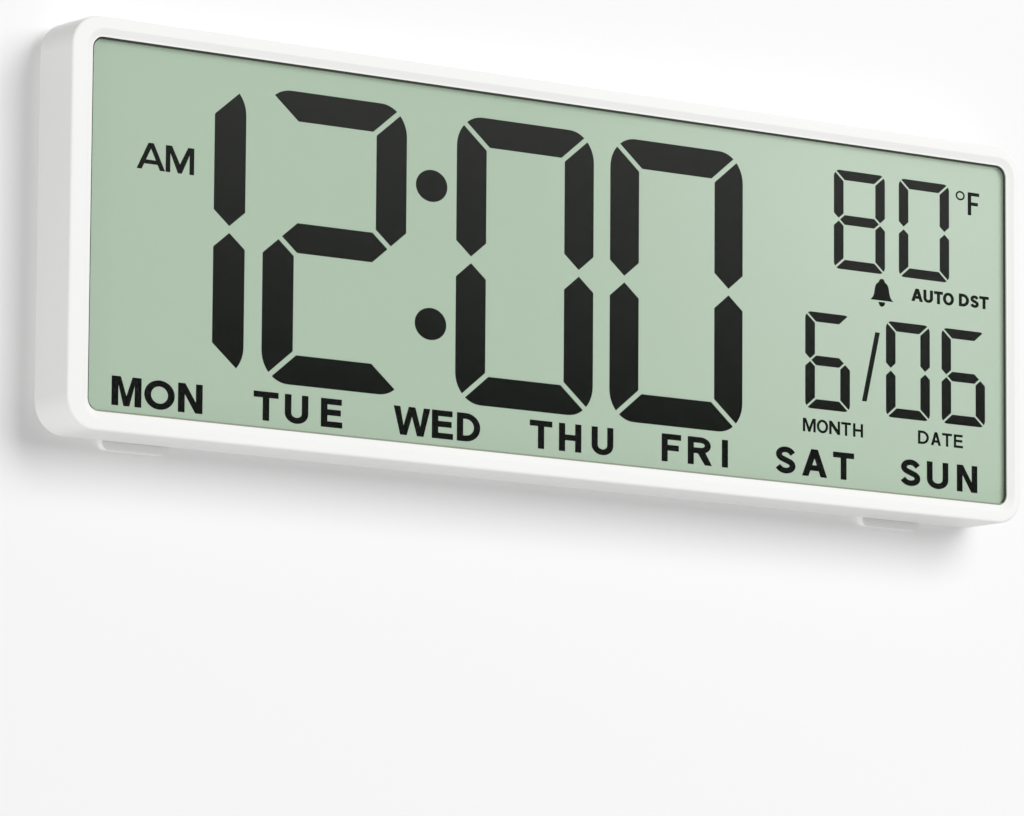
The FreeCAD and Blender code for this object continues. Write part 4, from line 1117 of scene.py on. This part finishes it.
@dataclass(frozen=True)
class CadFinishes:
    """The finish of every CAD node that stays in view, with its nodes' names in one string."""

    finishes: dict[Finish, str]

    @classmethod
    def usual(cls, case: Case) -> CadFinishes:
        """The finishes of this clock.

        Args:
            case: Where the case stands.

        Returns:
            Each finish with the names of its nodes.
        """
        buttons, plungers = (
            " ".join(f"{key}_{part}" for key in ("mode", "up", "down", "alarm", "units"))
            for part in ("button", "plunger")
        )
        return cls({
            Moulded("case_white", (0.915, 0.915, 0.902), 0.38, depth=0.000004): "front_housing",
            Moulded("cover_white", (0.86, 0.86, 0.855), 0.55, 1900.0, 0.00003): (
                "rear_cover battery_door"
            ),
            Moulded("leg_white", (0.90, 0.90, 0.893), 0.48): "left_leg right_leg",
            # The gasket's second colour is painted light on its lowest edge.
            RubberWithPaintedLight("gasket_rubber", (0.030, 0.032, 0.022), (0.30, 0.33, 0.25), case.foot): (
                "window_gasket"
            ),
            ClearSheet("display_film", (0.5, 0.53, 0.5), 0.005, 0.35): "lcd_front_film",
            ClearSheet("display_glass", (0.7, 0.78, 0.72), 0.002, 0.08): "lcd_front_glass",
            # The display ground's second colour is painted light at its upper right.
            Reflector("display_ground", (0.427, 0.543, 0.423), (0.516, 0.628, 0.510)): (
                "lcd_rear_glass lcd_reflector"
            ),
            Ink("bar_ink", (0.004, 0.005, 0.004), (0.026, 0.027, 0.025)): (
                "lcd_time_bars lcd_temperature_bars lcd_date_bars"
            ),
            Moulded("sealant", (0.55, 0.58, 0.52), 0.5): "lcd_edge_seal",
            Moulded("frame_grey", (0.28, 0.28, 0.29), 0.5): "lcd_frame",
            Striped("zebra", (0.03, 0.03, 0.03), (0.45, 0.45, 0.44), "X", 0.0001): "zebra_strips",
            Laminate("board_laminate"): "main_board driver_board",
            Metal("board_screw_steel", (0.6, 0.59, 0.56), 0.3): "board_screws",
            Moulded("chip_epoxy", (0.025, 0.025, 0.028), 0.5, 4000.0, 0.00001): (
                "controller_chip display_driver_chips"
            ),
            Metal("drawn_can", (0.75, 0.75, 0.76), 0.25): "quartz_crystal capacitors",
            Moulded("socket_nylon", (0.80, 0.76, 0.66), 0.4): "cable_sockets",
            Striped("ribbon", (0.5, 0.5, 0.52), (0.36, 0.36, 0.38), "X", 0.001, 0.4): "flat_cable",
            Moulded("vinyl_red", (0.55, 0.03, 0.025), 0.35): "battery_lead_red buzzer_wires",
            Moulded("vinyl_black", (0.02, 0.02, 0.02), 0.35): "battery_lead_black",
            Moulded("buzzer_shell", (0.03, 0.03, 0.03), 0.45): "piezo_buzzer",
            Moulded("bead_epoxy", (0.06, 0.05, 0.045), 0.25): "temperature_sensor",
            Moulded("switch_body", (0.04, 0.04, 0.042), 0.4): f"key_switches {plungers}",
            Moulded("key_grey", (0.66, 0.67, 0.68), 0.36): buttons,
            Metal("contact_nickel", (0.72, 0.70, 0.66), 0.22): "battery_contacts",
            Metal("steel_rod", (0.62, 0.62, 0.62), 0.3): "left_leg_pin right_leg_pin",
        })

    def build(self, nodes: Mapping[str, Piece]) -> None:
        """Put each finish on its nodes' material slots.

        Args:
            nodes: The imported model's objects by name.
        """
        for finish, names in self.finishes.items():
            material = finish.build()
            for name in names.split():
                piece = nodes[name]
                if not piece.material_slots:
                    piece.data.materials.append(material)
                for holder in piece.material_slots:
                    holder.material = material
                if isinstance(finish, (ClearSheet, RubberWithPaintedLight, Ink)):
                    let_light_by(piece)
                LOG.info("%s is finished in %s", name, finish.name)


# Room, light and camera
@dataclass(frozen=True)
class Lamp:
    """A square soft lamp aimed at the clock."""

    name: str
    place: Triple
    size: float
    level: float
    surface: Triple

    def build(self) -> None:
        """Make the lamp, with the power that gives its level on the named surface.

        A lamp of P watts gives a white surface that faces the given way a
        brightness of P times its cosine over pi squared and the distance squared.
        """
        place = np.array(self.place)
        distance = float(np.linalg.norm(place))
        cosine = float(np.dot(place, self.surface)) / distance
        data = bpy.data.lights.new(self.name, "AREA")
        data.shape = "SQUARE"
        data.size = self.size
        data.energy = self.level * math.pi**2 * distance**2 / cosine
        lamp = linked(self.name, data)
        lamp.location = self.place
        lamp.rotation_euler = Vector(self.place).to_track_quat("Z", "Y").to_euler()
        lamp.visible_camera = False
        lamp.visible_glossy = False


@dataclass(frozen=True)
class Room:
    """The white wall behind the clock, a pale floor far below and even light."""

    wall_gap: float = 0.0004
    reach: float = 12.0
    floor: float = -1.0
    wall_colour: Colour = (0.93, 0.93, 0.93)
    floor_colour: Colour = (0.92, 0.92, 0.92)
    fill: float = 0.44
    seen: float = 0.95

    def build(self) -> None:
        """Make the wall, the floor, the lamps and the world."""
        far, low, y = self.reach, self.floor, self.wall_gap
        wall = [(-far, y, low), (far, y, low), (far, y, far), (-far, y, far)]
        ground = [(-far, -far, low), (far, -far, low), (far, far, low), (-far, far, low)]
        self.sheet("wall", wall, self.wall_colour)
        self.sheet("floor", ground, self.floor_colour)
        Lamp("key", (1.45, -3.75, 1.6), 2.9, 0.63, (0.0, -1.0, 0.0)).build()
        Lamp("side", (-2.2, -0.2, -1.9), 1.2, 0.27, (-1.0, 0.0, 0.0)).build()
        Lamp("back", (0.9, 2.6, 1.6), 1.6, 0.40, (0.0, 1.0, 0.0)).build()
        self.world()

    def sheet(self, name: str, corners: Sequence[Sequence[float]], colour: Colour) -> None:
        """Make one flat sheet that shows from its front alone and blocks no light."""
        piece = new_object(name, np.array(corners), [np.arange(4)[None]], smooth=False)
        tree = Tree(bpy.data.materials.new(f"{name}_paint"))
        tone = tree.uneven(tree.noise(tree.place(), 0.7), colour, 0.995, 1.005)
        paint = tree.node("ShaderNodeBsdfDiffuse", {}, {"Color": tone})
        clear = tree.node("ShaderNodeBsdfTransparent", {}, {})
        behind = tree.node("ShaderNodeNewGeometry", {}, {}, "Backfacing")
        both = tree.node("ShaderNodeMixShader", {}, {0: behind, 1: paint, 2: clear})
        tree.node("ShaderNodeOutputMaterial", {}, {"Surface": both})
        piece.data.materials.append(tree.owner)
        let_light_by(piece)

    def world(self) -> None:
        """Light everything evenly, and look near white where a ray sees it directly."""
        scene = bpy.context.scene
        scene.world = bpy.data.worlds.new("studio")
        tree = Tree(scene.world)
        light, seen = (
            tree.node(
                "ShaderNodeBackground", {}, {"Color": (1.0, 1.0, 1.0, 1.0), "Strength": strength}
            )
            for strength in (self.fill, self.seen)
        )
        camera, glossy, through = (
            tree.node("ShaderNodeLightPath", {}, {}, f"Is {kind} Ray")
            for kind in ("Camera", "Glossy", "Transmission")
        )
        direct = (camera + glossy + through).over(0.5)
        both = tree.node("ShaderNodeMixShader", {}, {0: direct, 1: light, 2: seen})
        tree.node("ShaderNodeOutputWorld", {}, {"Surface": both})


@dataclass(frozen=True)
class Viewpoint:
    """The camera of the photograph, in metres and degrees."""

    place: Triple = (-1.40113, -1.86049, -0.39991)
    turn: Triple = (97.859462, -0.388853, -36.904297)
    lens: float = 234.22
    sensor: float = 36.0

    def build(self) -> None:
        """Make the camera and use it."""
        data = bpy.data.cameras.new("photo_camera")
        data.lens = self.lens
        data.sensor_width = self.sensor
        data.sensor_fit = "HORIZONTAL"
        data.clip_start = 0.05
        data.clip_end = 50.0
        camera = linked("photo_camera", data)
        camera.location = self.place
        camera.rotation_mode = "XYZ"
        camera.rotation_euler = [math.radians(angle) for angle in self.turn]
        bpy.context.scene.camera = camera


def main() -> None:
    """Build the clock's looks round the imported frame."""
    logging.basicConfig(level=logging.INFO, format="%(name)s: %(message)s")
    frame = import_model()
    bpy.context.scene.view_settings.view_transform = "Standard"
    case = Case.measured()
    Viewpoint().build()
    Room().build()
    CadFinishes.usual(case).build(frame["nodes"])
    Legends(case, Ink("legend_ink", (0.0025, 0.003, 0.0025), (0.012, 0.013, 0.011))).build()
    KeySigns(Moulded("sign_ink", (0.05, 0.05, 0.055), 0.5)).build()
    screw_steel = Metal("screw_steel", (0.66, 0.65, 0.62), 0.26, (900.0, 900.0, 900.0))
    CoverScrews(case, screw_steel).build()
    DryCells().build()
    BatterySprings(Metal("spring_nickel", (0.74, 0.72, 0.68), 0.2)).build()
    bpy.context.view_layer.update()


if __name__ == "__main__":
    main()
